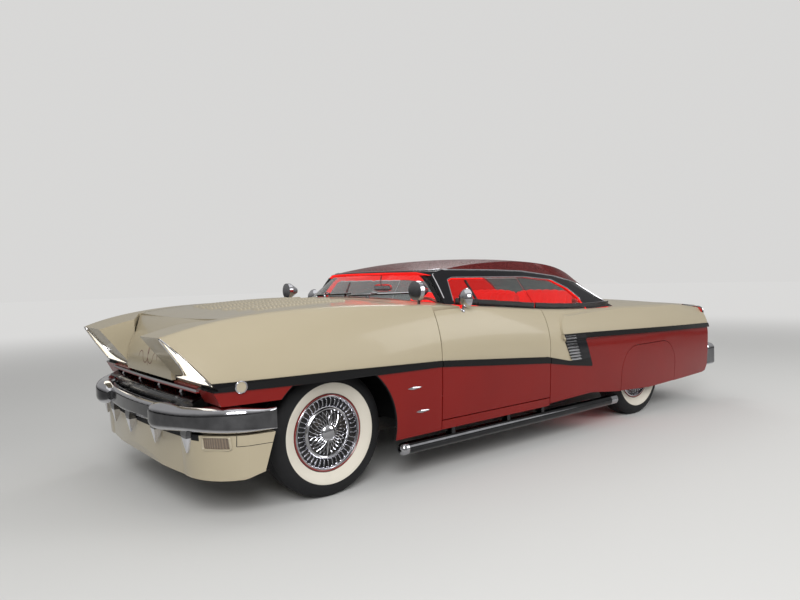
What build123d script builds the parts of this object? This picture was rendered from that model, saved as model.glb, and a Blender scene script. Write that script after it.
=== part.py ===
"""A chopped and lowered two-door hardtop of the 1950s, full size, as an assembly of separate pieces.

Millimetres, +X forward, +Y to the driver's left, +Z up. The origin is on the floor, in the middle of
the car's length and width. Stations along the car are measured from the middle of the wheelbase.
"""

import os
from functools import cache
from math import cos, radians, sin

from build123d import *

# Overall sizes
wheelbase = 3023
front_overhang = 880
rear_overhang = 1340
track_front = 1473
track_rear = 1490
tyre_radius = 350
tyre_width = 184
length = front_overhang + wheelbase + rear_overhang

# Walls, gaps and clearances
sheet = 16
lid_wall = 24
panel_gap = 6
seat_gap = 0.3
glass = 6
pillar_wall = 42
roof_wall = 30

# Stations measured from the middle of the wheelbase
mid = length / 2 - front_overhang - wheelbase / 2
front_axle = wheelbase / 2
rear_axle = -wheelbase / 2
door_front = 800
door_rear = -215
hood_rear = 985

# Heights
door_bottom = 330
rocker_bottom = 250
floor_top = 300
floor_plate = 12

# Outer skin of the lower body. Columns: station, low z, low half width, widest z, widest half width,
# crest z, crest half width, middle z, crest radius
SKIN = (
    (2470, 150, 740, 640, 830, 890, 668, 880, 34),
    (2150, 150, 850, 690, 905, 985, 735, 965, 44),
    (1511, 150, 915, 700, 952, 1036, 795, 1046, 60),
    (800, 150, 925, 670, 957, 1012, 868, 1062, 46),
    (-215, 150, 928, 620, 958, 936, 884, 1010, 40),
    (-1511, 150, 925, 600, 955, 905, 858, 962, 40),
    (-2150, 150, 905, 600, 932, 885, 828, 925, 40),
    (-2760, 150, 860, 600, 885, 862, 775, 880, 40),
)


def at(station):
    """Car x of a station measured from the middle of the wheelbase."""
    return mid + station


@cache
def skin(inset, low_drop=0):
    """The lower body's outer skin as a solid, moved inwards by an inset."""
    with BuildPart() as body:
        for station, low, low_y, wide, wide_y, crest, crest_y, middle, radius in SKIN:
            bottom = low - low_drop
            a = low_y - inset
            b = wide_y - inset
            c = crest_y - inset * 0.75
            top = crest - inset
            centre = middle - inset
            lower_bulge = 8
            upper_bulge = 26
            lower_middle = ((a + b) / 2 + lower_bulge, (bottom + wide) / 2)
            upper_middle = ((b + c) / 2 + upper_bulge, (wide + top) / 2 + upper_bulge / 2)
            with BuildSketch(Plane(origin=(at(station), 0, 0), x_dir=(0, 1, 0), z_dir=(1, 0, 0))) as ring:
                with BuildLine():
                    Line((-a, bottom), (a, bottom))
                    ThreePointArc((a, bottom), lower_middle, (b, wide))
                    ThreePointArc((b, wide), upper_middle, (c, top))
                    ThreePointArc((c, top), (0, centre), (-c, top))
                    ThreePointArc((-c, top), (-upper_middle[0], upper_middle[1]), (-b, wide))
                    ThreePointArc((-b, wide), (-lower_middle[0], lower_middle[1]), (-a, bottom))
                make_face()
                crests = [v for v in ring.vertices() if abs(v.Y - top) < 0.01 and abs(abs(v.X) - c) < 0.01]
                fillet(crests, max(radius - inset * 0.5, 8))
        loft()
    return body.part


def side_block(outline, y_low, y_high):
    """Block with a side outline of (station, z) points, between two planes across the car."""
    with BuildPart() as block:
        with BuildSketch(Plane.XZ.offset(-y_high)):
            with BuildLine():
                Polyline([(at(x), z) for x, z in outline], close=True)
            make_face()
        extrude(amount=y_high - y_low)
    return block.part


def plan_block(outline, z_low, z_high):
    """Block with a plan outline of (station, y) points, between two heights."""
    with BuildPart() as block:
        with BuildSketch(Plane.XY.offset(z_low)):
            with BuildLine():
                Polyline([(at(x), y) for x, y in outline], close=True)
            make_face()
        extrude(amount=z_high - z_low)
    return block.part


def box(x_low, x_high, y_low, y_high, z_low, z_high):
    """Plain block between two stations, two y planes and two heights."""
    return plan_block(((x_low, y_low), (x_high, y_low), (x_high, y_high), (x_low, y_high)), z_low, z_high)


def cylinder_across(station, z, radius, y_low, y_high):
    """Cylinder whose axis runs across the car."""
    with BuildPart() as drum:
        with BuildSketch(Plane.XZ.offset(-y_high)):
            with Locations((at(station), z)):
                Circle(radius)
        extrude(amount=y_high - y_low)
    return drum.part


def cylinder_up(station, y, radius, z_low, z_high):
    """Cylinder whose axis runs upwards."""
    with BuildPart() as post:
        with BuildSketch(Plane.XY.offset(z_low)):
            with Locations((at(station), y)):
                Circle(radius)
        extrude(amount=z_high - z_low)
    return post.part


def shape(start, keep=(), cut=(), join=()):
    """A solid kept inside every block of keep, with the blocks of cut taken away, then joined."""
    with BuildPart() as made:
        add(start)
        for block in keep:
            add(block, mode=Mode.INTERSECT)
        for block in cut:
            add(block, mode=Mode.SUBTRACT)
        for block in join:
            add(block)
    return made.part


def pair(part):
    """A block joined with its mirror image on the other side of the car."""
    return shape(part, join=(mirror(part, about=Plane.XZ),))


os.makedirs("parts", exist_ok=True)

outer = skin(0)
inner = skin(sheet, 60)
clear_skin = skin(-seat_gap)
half = 1100
low = 100
high = 1400
gap = panel_gap / 2

# Nose plane of the fenders and the wheel arch
arch_station = front_axle + 34
arch_radius = 402
arch_top = 656
lamp_low = (2185, 690)
lamp_high = (2376, 936)
lamp_slope = (lamp_high[0] - lamp_low[0]) / (lamp_high[1] - lamp_low[1])
nose_lip = 676


def rake(z, ahead=0.0):
    """Station of the raked nose plane at a height."""
    return lamp_low[0] + lamp_slope * (z - lamp_low[1]) + ahead


# Door hinges: arms on the hinge pillar reach into slots in the door's front edge
hinge_station = door_front - 40
hinge_y = 950
hinge_heights = (480, 800)
door_inner = 825

# Plan outline of the hood
hood_nose_half = 380
hood_front_half = 610
hood_rear_half = 735
cowl_front = hood_rear + 95


def hood_plan(grow):
    """Plan block of the hood: its front runs past the nose and its rear edge is bowed forward."""
    a = (at(hood_rear - 85 - grow), hood_rear_half + grow)
    b = (at(2050 + grow), hood_front_half + grow)
    c = (at(2150 + grow), hood_nose_half + grow)
    d = (at(2600), hood_nose_half + grow)
    with BuildPart() as block:
        with BuildSketch(Plane.XY.offset(low)):
            with BuildLine():
                Polyline(a, b, c, d, (d[0], -d[1]), (c[0], -c[1]), (b[0], -b[1]), (a[0], -a[1]))
                ThreePointArc((a[0], -a[1]), (at(cowl_front - grow), 0), a)
            make_face()
        extrude(amount=high - low)
    return block.part


def nose_block(inset, z_low):
    """Side block of everything behind the hood's rounded nose."""
    with BuildPart() as block:
        with BuildSketch(Plane.XZ.offset(-half)):
            with BuildLine():
                start = (at(2206) - inset, z_low)
                end = (at(2040) - inset, 985)
                Polyline(start, (at(0), z_low), (at(0), high), (end[0], high), end)
                ThreePointArc(end, (at(2162) - inset, 880), start)
            make_face()
        extrude(amount=2 * half)
    return block.part


# Side mouldings, raised from the skin of each panel that they cross
rib_proud = 7
main_moulding = (
    (2230, 668),
    (1511, 656),
    (813, 650),
    (-186, 570),
    (-443, 530),
    (-690, 500),
    (-690, 528),
    (-443, 559),
    (-186, 613),
    (813, 686),
    (1511, 704),
    (2230, 710),
)
upper_moulding = ((-350, 722), (-2640, 660), (-2640, 696), (-600, 752), (-350, 756))
rib_shell = shape(skin(-rib_proud), keep=(side_block(main_moulding, 700, half),), cut=(skin(8),))

hood_zone = hood_plan(0)
hood_hole = hood_plan(panel_gap)
hood_core = shape(skin(lid_wall), keep=(nose_block(lid_wall, nose_lip - 5),))
hood_nose = nose_block(0, nose_lip)
with BuildPart() as hood:
    add(outer)
    add(hood_zone, mode=Mode.INTERSECT)
    add(hood_nose, mode=Mode.INTERSECT)
    add(hood_core, mode=Mode.SUBTRACT)
hood.part.label = "hood"

# Front fenders, with the red strip below the nose lip
arch_hole = shape(
    cylinder_across(arch_station, 345, arch_radius, 520, half),
    keep=(box(arch_station - 500, arch_station + 500, 500, half, low, arch_top),),
)
fender_low = 597
nose_lip_front = 2198
pillar_inner = 790
fender_sides = side_block(
    (
        (door_front + gap, 268),
        (arch_station, 262),
        (arch_station, fender_low),
        (nose_lip_front - 38, fender_low),
        (nose_lip_front, nose_lip - 6),
        (rake(nose_lip), nose_lip),
        (rake(960), 960),
        (rake(960), high),
        (door_front + gap, high),
    ),
    300,
    half,
)
# Headlamps in the raked noses, parking lamps, tail lamps
lamp_shape = (
    (690, 935),
    (742, 898),
    (812, 812),
    (868, 712),
    (872, 692),
    (400, 690),
    (402, 700),
    (600, 722),
    (652, 790),
    (672, 860),
)


def front_block(points, x_low, x_high):
    """Block with a front outline of (y, z) points, between two stations."""
    with BuildPart() as block:
        with BuildSketch(Plane(origin=(at(x_low), 0, 0), x_dir=(0, 1, 0), z_dir=(1, 0, 0))):
            with BuildLine():
                Polyline(points, close=True)
            make_face()
        extrude(amount=x_high - x_low)
    return block.part


lamp_slab = side_block(
    ((rake(600, -36), 600), (rake(600, -2), 600), (rake(1000, -2), 1000), (rake(1000, -36), 1000)), 300, half
)
lamp_left = shape(front_block(lamp_shape, 2000, 2500), keep=(lamp_slab, skin(7)))
lamp_hole = shape(
    front_block(lamp_shape, 2000, 2500),
    keep=(
        side_block(
            ((rake(600, -37), 600), (rake(600, 50), 600), (rake(1000, 50), 1000), (rake(1000, -37), 1000)),
            300,
            half,
        ),
    ),
)

fender_core = shape(
    inner,
    keep=(
        side_block(
            (
                (door_front + gap + 90, low),
                (rake(low) - 70, low),
                (rake(high) - 70, high),
                (door_front + gap + 90, high),
            ),
            -half,
            half,
        ),
    ),
    cut=(shape(hood_plan(panel_gap + sheet), keep=(box(1960, 2600, -half, half, 640, high),)),),
)
grille_half = 700
pillar_cut = shape(
    box(door_front - 50, door_front + 94, 0, pillar_inner, low, 950),
    join=(box(door_front - 50, door_front + 300, 0, hood_rear_half + panel_gap, 800, high),),
)
grille_hole = box(2000, 2500, -grille_half, grille_half, low, nose_lip - 14)
fender_rib = shape(rib_shell, keep=(fender_sides,), cut=(arch_hole, lamp_hole))
with BuildPart() as fender_left:
    add(outer)
    add(fender_sides, mode=Mode.INTERSECT)
    add(hood_hole, mode=Mode.SUBTRACT)
    add(arch_hole, mode=Mode.SUBTRACT)
    add(fender_core, mode=Mode.SUBTRACT)
    add(pillar_cut, mode=Mode.SUBTRACT)
    add(grille_hole, mode=Mode.SUBTRACT)
    add(lamp_hole, mode=Mode.SUBTRACT)
    add(fender_rib)
    for z in hinge_heights:
        add(box(hinge_station - 5, door_front + 40, pillar_inner + 8, door_inner - 8, z - 10, z + 10))
        add(box(hinge_station - 5, hinge_station + 5, pillar_inner + 8, hinge_y - 20, z - 10, z + 10))
fender_left.part.label = "fender_left"
with BuildPart() as headlamps:
    add(lamp_left)
    add(mirror(lamp_left, about=Plane.XZ))
headlamps.part.label = "headlamps"

# Doors: solid from the skin to the inner face, notched round the foot of the windscreen pillar
post_notch = 888
door_gap = 7
door_cut = door_gap / 2
pillar_notch = box(500, door_front + 60, 0, post_notch, 925, high)
door_box = box(door_rear + door_cut, door_front - door_cut, door_inner, half, door_bottom, high)
door_rib = shape(rib_shell, keep=(door_box,))
with BuildPart() as door_left:
    add(outer)
    add(door_box, mode=Mode.INTERSECT)
    add(door_rib)
    add(pillar_notch, mode=Mode.SUBTRACT)
    for z in hinge_heights:
        add(
            box(hinge_station - 25, door_front, door_inner - 5, hinge_y - 2, z - 10.3, z + 10.3),
            mode=Mode.SUBTRACT,
        )
door_left.part.label = "door_left"

# Rocker panels under the doors
with BuildPart() as rocker_left:
    add(outer)
    add(
        box(door_rear - 380, door_front - gap, 800, half, rocker_bottom + 20, door_bottom - door_gap),
        mode=Mode.INTERSECT,
    )
    add(box(door_rear - 500, door_rear + door_cut, 0, half, low, high), mode=Mode.SUBTRACT)
rocker_left.part.label = "rocker_left"

# Roof: the tapering plan of the windows cut by the crowned roof surface
belt_level = 920
eave_level = 1240


@cache
def cabin_block(inset):
    """Tapering block of the greenhouse, moved inwards by an inset."""
    with BuildPart() as block:
        for level, front_x, front_y, nose_x, side_y, rear_x, rear_y, tail_x in (
            (belt_level - 60, 648, 905, 1270, 917, -1335, 832, -1700),
            (eave_level + 120, 492, 515, 495, 512, -340, 500, -1050),
        ):
            a = (at(front_x) - inset, front_y - inset)
            b = (at(-260), side_y - inset)
            c = (at(rear_x) + inset, rear_y - inset)
            with BuildSketch(Plane.XY.offset(level)):
                with BuildLine():
                    ThreePointArc((a[0], -a[1]), (at(nose_x) - inset * 1.6, 0), a)
                    ThreePointArc(a, b, c)
                    ThreePointArc(c, (at(tail_x) + inset, 0), (c[0], -c[1]))
                    ThreePointArc((c[0], -c[1]), (b[0], -b[1]), (a[0], -a[1]))
                make_face()
        loft(ruled=True)
    return block.part


# Roof crown. Columns: station, middle z, z at the crown half width
CROWN = (
    (1350, 1010, 985),
    (760, 1206, 1176),
    (400, 1284, 1250),
    (-350, 1318, 1286),
    (-850, 1262, 1222),
    (-1500, 948, 905),
    (-1700, 830, 790),
)
crown_half = 560
crown_reach = 1000


@cache
def crown_block(inset):
    """Block under the crowned roof surface, lowered by an inset."""
    with BuildPart() as block:
        for station, middle, side in CROWN:
            drop = (middle - side) * (crown_reach / crown_half) ** 2
            edge = middle - drop - inset
            with BuildSketch(Plane(origin=(at(station), 0, 0), x_dir=(0, 1, 0), z_dir=(1, 0, 0))):
                with BuildLine():
                    Polyline((-crown_reach, edge), (-crown_reach, 500), (crown_reach, 500), (crown_reach, edge))
                    ThreePointArc((crown_reach, edge), (0, middle - inset), (-crown_reach, edge))
                make_face()
        loft()
    return block.part


screen_opening = side_block(
    ((640, 860), (600, 1040), (566, 1196), (602, 1218), (800, 1226), (1400, 1226), (1400, 860)), -half, half
)
side_opening = side_block(
    (
        (552, 860),
        (532, 1010),
        (478, 1160),
        (440, 1174),
        (-280, 1166),
        (-600, 1138),
        (-740, 1070),
        (-800, 1000),
        (-806, 860),
    ),
    300,
    half,
)
light_opening = plan_block(((-960, -440), (-960, 440), (-1350, 520), (-1405, 0), (-1350, -520)), 800, high)
roof_skin = shape(cabin_block(0), keep=(crown_block(0),))
roof_core = shape(cabin_block(pillar_wall), keep=(crown_block(roof_wall),))
side_openings = shape(side_opening, join=(mirror(side_opening, about=Plane.XZ),))
with BuildPart() as roof:
    add(roof_skin)
    add(roof_core, mode=Mode.SUBTRACT)
    add(clear_skin, mode=Mode.SUBTRACT)
    add(screen_opening, mode=Mode.SUBTRACT)
    add(side_openings, mode=Mode.SUBTRACT)
    add(light_opening, mode=Mode.SUBTRACT)
roof.part.label = "roof"

# Window glass, in the middle of the pillar thickness
glass_depth = 12
glass_shell = shape(
    cabin_block(glass_depth),
    keep=(crown_block(glass_depth),),
    cut=(shape(cabin_block(glass_depth + glass), keep=(crown_block(glass_depth + glass),)),),
)
screen_zone = side_block(
    (
        (640.4, 860),
        (600.4, 1040),
        (566.4, 1196),
        (602.4, 1217.7),
        (800, 1225.7),
        (1400, 1225.7),
        (1400, 860),
    ),
    -half,
    half,
)
with BuildPart() as windscreen:
    add(glass_shell)
    add(screen_zone, mode=Mode.INTERSECT)
    add(clear_skin, mode=Mode.SUBTRACT)
windscreen.part.label = "windscreen"

door_glass_zone = side_block(
    ((528, 860), (520, 1010), (466, 1154), (432, 1167), (-205, 1160), (door_rear + door_cut, 860)), 300, half
)
with BuildPart() as door_glass_left:
    add(glass_shell)
    add(door_glass_zone, mode=Mode.INTERSECT)
    add(clear_skin, mode=Mode.SUBTRACT)
door_glass_left.part.label = "door_glass_left"

quarter_glass_zone = side_block(
    (
        (door_rear - door_cut, 860),
        (-213, 1166.7),
        (-280, 1165.7),
        (-600, 1137.7),
        (-739.7, 1069.8),
        (-799.7, 999.9),
        (-805.7, 860),
    ),
    300,
    half,
)
light_zone = plan_block(
    ((-960.3, -439.7), (-960.3, 439.7), (-1349.7, 519.7), (-1404.7, 0), (-1349.7, -519.7)), 800, high
)
quarter_glass = shape(glass_shell, keep=(quarter_glass_zone,), cut=(clear_skin,))
back_light = shape(glass_shell, keep=(light_zone,), cut=(clear_skin,))
with BuildPart() as rear_windows:
    add(quarter_glass)
    add(mirror(quarter_glass, about=Plane.XZ))
    add(back_light)
rear_windows.part.label = "rear_windows"

# Cowl: the panel ahead of the windscreen, the pillar feet and the firewall
firewall_front = 890
cowl_panel = shape(
    outer,
    keep=(
        plan_block(
            (
                (1090, -260),
                (960, -640),
                (897, -735),
                (door_front + gap, -735),
                (door_front + gap, -868),
                (560, -868),
                (560, -790),
                (760, -560),
                (840, 0),
                (760, 560),
                (560, 790),
                (560, 868),
                (door_front + gap, 868),
                (door_front + gap, 735),
                (897, 735),
                (960, 640),
                (1090, 260),
            ),
            900,
            high,
        ),
    ),
    cut=(hood_hole, skin(lid_wall)),
)
firewall = shape(skin(lid_wall), keep=(box(firewall_front - 22, firewall_front, -735, 735, 800, high),))
firewall_low = box(firewall_front - 22, firewall_front, -pillar_inner + 0.3, pillar_inner - 0.3, floor_top, 940)
hood_pads = shape(
    skin(lid_wall + seat_gap),
    keep=(
        shape(
            box(firewall_front - 20, hood_rear - 25, 640, 690, 950, high),
            join=(box(firewall_front - 20, hood_rear - 25, -690, -640, 950, high),),
        ),
    ),
)
with BuildPart() as cowl:
    add(cowl_panel)
    add(firewall)
    add(hood_pads)
    add(firewall_low)
cowl.part.label = "cowl"

# Rear body: quarters, deck, tail panel and parcel shelf round the cabin and the luggage space
rear_arch_radius = 396
trunk_floor = 480
lid_half = 640
lid_rear = -2600
quarter_sides = side_block(
    (
        (door_rear - door_cut, 285),
        (-700, 300),
        (-1060, 262),
        (-1511, 238),
        (-2500, 250),
        (-2560, 262),
        (-2592, 310),
        (-2606, 640),
        (-2606, 1300),
        (door_rear - door_cut, 1300),
    ),
    -half,
    half,
)
cabin_rear = plan_block(
    (
        (0, -door_inner),
        (-880, -door_inner),
        (-1030, -590),
        (-1120, -590),
        (-1120, 590),
        (-1030, 590),
        (-880, door_inner),
        (0, door_inner),
    ),
    low,
    high,
)
trunk_space = box(-2565, -1150, -600, 600, low, 855)
shelf_hole = box(-1240, -1000, -700, 700, 905, high)
well_wall = 925
wheel_wells = pair(shape(box(rear_axle - 400, rear_axle + 400, 618, well_wall, low, 790), keep=(skin(22),)))
skirt_reach = 415
skirt_top = 600


def skirt_block(grow):
    """Block with the rounded side outline of a fender skirt, larger by a gap."""
    front = at(rear_axle + skirt_reach) + grow
    back = at(rear_axle - skirt_reach) - grow
    top = skirt_top + grow
    with BuildPart() as block:
        with BuildSketch(Plane.XZ.offset(-half)):
            with BuildLine():
                Polyline((back, 400), (back, low), (front, low), (front, 400))
                ThreePointArc((front, 400), (front - 62, 540), (front - 210, top))
                Line((front - 210, top), (back + 210, top))
                ThreePointArc((back + 210, top), (back + 62, 540), (back, 400))
            make_face()
        extrude(amount=half - 870)
    return block.part


skirt_hole = pair(skirt_block(panel_gap - 1))

# Raised blister along each rear quarter, rounded at its front end and bevelled on to the skin
blister_proud = 15
blister_taper = 24
blister_start = 860
with BuildPart() as blister_block:
    with BuildSketch(Plane(origin=(0, blister_start, 0), x_dir=(-1, 0, 0), z_dir=(0, 1, 0))):
        with BuildLine():
            Polyline((-at(-480), 905), (-at(-1250), 912), (-at(-2700), 872), (-at(-2700), 640), (-at(-330), 660))
            Line((-at(-330), 660), (-at(-310), 770))
            ThreePointArc((-at(-310), 770), (-at(-352), 872), (-at(-480), 905))
        make_face()
    extrude(amount=160, taper=blister_taper)

# Louvre panel at the front end of the red quarter, with its slats
louvre_frame = ((-352, 752), (-610, 745), (-700, 506), (-452, 552))
louvre_slats = 8
slat_pitch = 22
with BuildPart() as slat_stack:
    for step in range(louvre_slats):
        z = 566 + step * slat_pitch
        front = -440 + 0.42 * (z - 566)
        add(side_block(((front, z), (front - 118, z - 4), (front - 118, z + 4), (front, z + 9)), 880, half))
louvre_plate = shape(skin(-3), keep=(side_block(louvre_frame, 860, half),), cut=(skin(8),))
slats = shape(skin(-11), keep=(slat_stack.part,), cut=(skin(8),))


def lid_block(grow):
    """Block of the trunk lid, larger by a gap all round."""
    front = -1600 + grow
    return side_block(
        ((front, 600 - grow), (front, high), (-2800, high), (-2800, 640 - grow), (-2400, 640 - grow), (-2400, 600)),
        -lid_half - grow,
        lid_half + grow,
    )


quarter_zone = box(-2602, door_rear - door_cut, 700, half, 285, high)
blister = shape(skin(-blister_proud), keep=(blister_block.part, quarter_zone), cut=(skin(8),))
upper_block = side_block(upper_moulding, 700, half)
upper_rib = shape(skin(-blister_proud - rib_proud), keep=(upper_block, quarter_zone), cut=(skin(8),))
main_rib = shape(rib_shell, keep=(quarter_zone,))
quarter_dress = pair(shape(blister, join=(louvre_plate, slats, upper_rib, main_rib)))
under_core = shape(
    skin(60, 60),
    keep=(box(-2540, -1000, -half, half, low, trunk_floor),),
)
lid_zone = lid_block(0)
lid_hole = lid_block(panel_gap)
lid_pads = shape(
    skin(lid_wall + seat_gap),
    keep=(
        shape(
            box(lid_rear + 960, lid_rear + 1020, 400, 450, 900, high),
            join=(box(lid_rear + 960, lid_rear + 1020, -450, -400, 900, high),),
        ),
    ),
)
# Rear bumper brackets, which pass through the body's rear wall
bracket_y = 375
bracket_half = 25
bracket_low = 350
bracket_high = 410


def bracket(grow):
    """One rear bumper bracket, larger by a gap all round."""
    wide = bracket_half + grow
    return box(-2720, -2460.3, bracket_y - wide, bracket_y + wide, bracket_low - grow, bracket_high + grow)


with BuildPart() as body_rear:
    add(outer)
    add(quarter_sides, mode=Mode.INTERSECT)
    add(cabin_rear, mode=Mode.SUBTRACT)
    add(trunk_space, mode=Mode.SUBTRACT)
    add(shelf_hole, mode=Mode.SUBTRACT)
    add(wheel_wells, mode=Mode.SUBTRACT)
    add(skirt_hole, mode=Mode.SUBTRACT)
    add(under_core, mode=Mode.SUBTRACT)
    add(lid_hole, mode=Mode.SUBTRACT)
    add(pair(bracket(seat_gap)), mode=Mode.SUBTRACT)
    add(quarter_dress)
    add(lid_pads)
body_rear.part.label = "body_rear"

tail_station = -2618
lid_core = shape(skin(lid_wall), keep=(box(tail_station + lid_wall, 0, -half, half, low, high),))
with BuildPart() as trunk_lid:
    add(outer)
    add(lid_zone, mode=Mode.INTERSECT)
    add(box(tail_station, 0, -half, half, 640, high), mode=Mode.INTERSECT)
    add(lid_core, mode=Mode.SUBTRACT)
trunk_lid.part.label = "trunk_lid"

# Fender skirts over the rear wheels
skirt_bottom = side_block(((-1000, 268), (rear_axle, 238), (-2000, 246), (-2000, high), (-1000, high)), 870, half)
skirt_left = shape(
    shape(outer, keep=(skirt_block(0), skirt_bottom), cut=(inner,)),
    join=(
        box(rear_axle - 100, rear_axle + 100, well_wall - 10, 945, 555, skirt_top - 6),
        box(rear_axle - 100, rear_axle + 100, well_wall - 10, well_wall - seat_gap, 555, 650),
    ),
)
with BuildPart() as fender_skirts:
    add(skirt_left)
    add(mirror(skirt_left, about=Plane.XZ))
fender_skirts.part.label = "fender_skirts"

# Floor pan with the footwell, the tunnel and the luggage floor
with BuildPart() as floor_pan:
    add(box(780, firewall_front - 22.3, -785, 785, floor_top - floor_plate, floor_top - seat_gap))
    add(box(-225, 790, -799.7, 799.7, floor_top - floor_plate, floor_top - seat_gap))
    add(box(-870, -225, -824.7, 824.7, floor_top - floor_plate, floor_top - seat_gap))
    add(box(-1100, -870, -585, 585, floor_top - floor_plate, floor_top - seat_gap))
    add(box(-1112, -1100, -585, 585, floor_top - floor_plate, trunk_floor - seat_gap))
    add(box(-2530, -1100, -585, 585, trunk_floor - floor_plate, trunk_floor - seat_gap))
    for side in (-1, 1):
        add(box(-590, 780, side * 755 - 30, side * 755 + 30, 225, floor_top - floor_plate))
floor_pan.part.label = "floor_pan"

# Chassis frame: two rails kicked up over the axles, and crossmembers
rail_outline = (
    (2080, 330),
    (1900, 330),
    (1180, 330),
    (1000, 190),
    (-1140, 190),
    (-1320, 402),
    (-1900, 402),
    (-2000, 340),
    (-2460, 340),
    (-2460, 420),
    (-2000, 420),
    (-1880, 455),
    (-1290, 455),
    (-1130, 275),
    (970, 275),
    (1150, 415),
    (2080, 415),
)
rail_left = side_block(rail_outline, 345, 405)
with BuildPart() as chassis_frame:
    add(rail_left)
    add(mirror(rail_left, about=Plane.XZ))
    for station, z in ((1980, 340), (1100, 300), (300, 200), (-700, 200), (-1280, 395), (-1820, 395), (-2424, 345)):
        add(box(station - 36, station + 36, -360, 360, z, z + 55))
    for station in (700, 0, -700):
        add(box(station - 40, station + 40, 345, 405, 270, floor_top - floor_plate - seat_gap))
        add(box(station - 40, station + 40, -405, -345, 270, floor_top - floor_plate - seat_gap))
chassis_frame.part.label = "chassis_frame"

# Engine with its gearbox as one plain block, and the radiator
with BuildPart() as engine_block:
    add(box(1190, 1800, -300, 300, 428, 850))
    add(box(912, 1190, -150, 150, 355.3, 660))
    add(box(1270, 1380, -400, 400, 415.3, 470))
engine_block.part.label = "engine_block"
with BuildPart() as radiator:
    add(box(1925, 1990, -320, 320, 395.3, 860))
    add(box(1925, 1990, -335, 335, 860, 895))
radiator.part.label = "radiator"

# Wheels and tyres, drawn once on the wheel's own axle line and moved into place
rim_radius = 212
hub_bore = 20
spindle_gap = 0.1


def wheel_profile(points):
    """Solid of revolution about the Y axis from (y, radius) points."""
    with BuildPart() as turned:
        with BuildSketch(Plane.XY):
            with BuildLine():
                Polyline([(r, y) for y, r in points], close=True)
            make_face()
        revolve(axis=Axis.Y)
    return turned.part


half_tyre = tyre_width / 2
with BuildPart() as tyre_ring:
    with BuildSketch(Plane.XY):
        with BuildLine():
            Polyline(
                (rim_radius + 0.3, 58),
                (rim_radius + 0.3, -58),
                (232, -72),
            )
            ThreePointArc((232, -72), (290, -half_tyre), (334, -76))
            ThreePointArc((334, -76), (347, -66), (tyre_radius - 1.5, -50))
            ThreePointArc((tyre_radius - 1.5, -50), (tyre_radius, 0), (tyre_radius - 1.5, 50))
            ThreePointArc((tyre_radius - 1.5, 50), (347, 66), (334, 76))
            ThreePointArc((334, 76), (290, half_tyre), (232, 72))
            Line((232, 72), (rim_radius + 0.3, 58))
        make_face()
    revolve(axis=Axis.Y)
tyre_shape = tyre_ring.part
wheel_turned = wheel_profile(
    (
        (-70, rim_radius),
        (-70, 180),
        (-52, 168),
        (20, 168),
        (30, 120),
        (0, 100),
        (0, hub_bore),
        (44, hub_bore),
        (52, 60),
        (62, 110),
        (44, 165),
        (56, 190),
        (66, rim_radius),
    )
)
slots = 24
slot_radius = 180
with BuildPart() as slot_ring:
    with BuildSketch(Plane.XZ.offset(-48)):
        with PolarLocations(slot_radius, slots):
            Rectangle(26, 22)
    extrude(amount=-30)
with BuildPart() as spinner:
    with BuildSketch(Plane(origin=(0, 50, 0), x_dir=(1, 0, 0), z_dir=(0, 1, 0))):
        Circle(52)
    extrude(amount=24, taper=30)
    with BuildSketch(Plane(origin=(0, 56, 0), x_dir=(1, 0, 0), z_dir=(0, 1, 0))):
        Rectangle(210, 26)
    extrude(amount=16, taper=12)
wheel_shape = shape(wheel_turned, cut=(slot_ring.part,), join=(spinner.part,))
WHEELS = (
    ("front_left", front_axle, track_front / 2, 1),
    ("front_right", front_axle, -track_front / 2, -1),
    ("rear_left", rear_axle, track_rear / 2, 1),
    ("rear_right", rear_axle, -track_rear / 2, -1),
)


def placed(part, station, y, side):
    """A wheel piece moved to its place, mirrored for the right side."""
    if side < 0:
        part = mirror(part, about=Plane.XZ)
    return part.moved(Location((at(station), y, tyre_radius)))


wheel_parts = []
for name, station, y, side in WHEELS:
    tyre = Part(placed(tyre_shape, station, y, side).wrapped)
    tyre.label = "tyre_" + name
    wheel = Part(placed(wheel_shape, station, y, side).wrapped)
    wheel.label = "wheel_" + name
    wheel_parts = wheel_parts + [tyre, wheel]

# Front knuckles on their kingpins and the suspension arms that carry them
kingpin_y = 640
knuckle_shape = shape(
    box(front_axle - 24, front_axle + 24, kingpin_y - 24, kingpin_y + 20, 252.3, 457.7),
    join=(
        cylinder_across(front_axle, tyre_radius, hub_bore - spindle_gap, kingpin_y, track_front / 2 + 30),
        cylinder_across(front_axle, tyre_radius, 90, kingpin_y + 20, kingpin_y + 50),
    ),
)
knuckle_left = BuildPart()
with knuckle_left:
    add(knuckle_shape)
knuckle_left.part.label = "knuckle_left"
arms = shape(
    plan_block(((1350, 405), (1680, 405), (front_axle + 24, kingpin_y + 20), (front_axle - 24, kingpin_y + 20)), 222, 252),
    join=(
        plan_block(
            ((1400, 405), (1620, 405), (front_axle + 20, kingpin_y + 16), (front_axle - 20, kingpin_y + 16)), 458, 480
        ),
    ),
)
with BuildPart() as front_suspension:
    add(arms)
    add(mirror(arms, about=Plane.XZ))
    add(box(1340, 1690, -405, 405, 222, 252))
    add(box(1390, 1630, 345, 405, 415.3, 480))
    add(box(1390, 1630, -405, -345, 415.3, 480))
    add(box(1480, 1540, 300, 345, 252, 330))
    add(box(1480, 1540, -345, -300, 252, 330))
front_suspension.part.label = "front_suspension"

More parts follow.
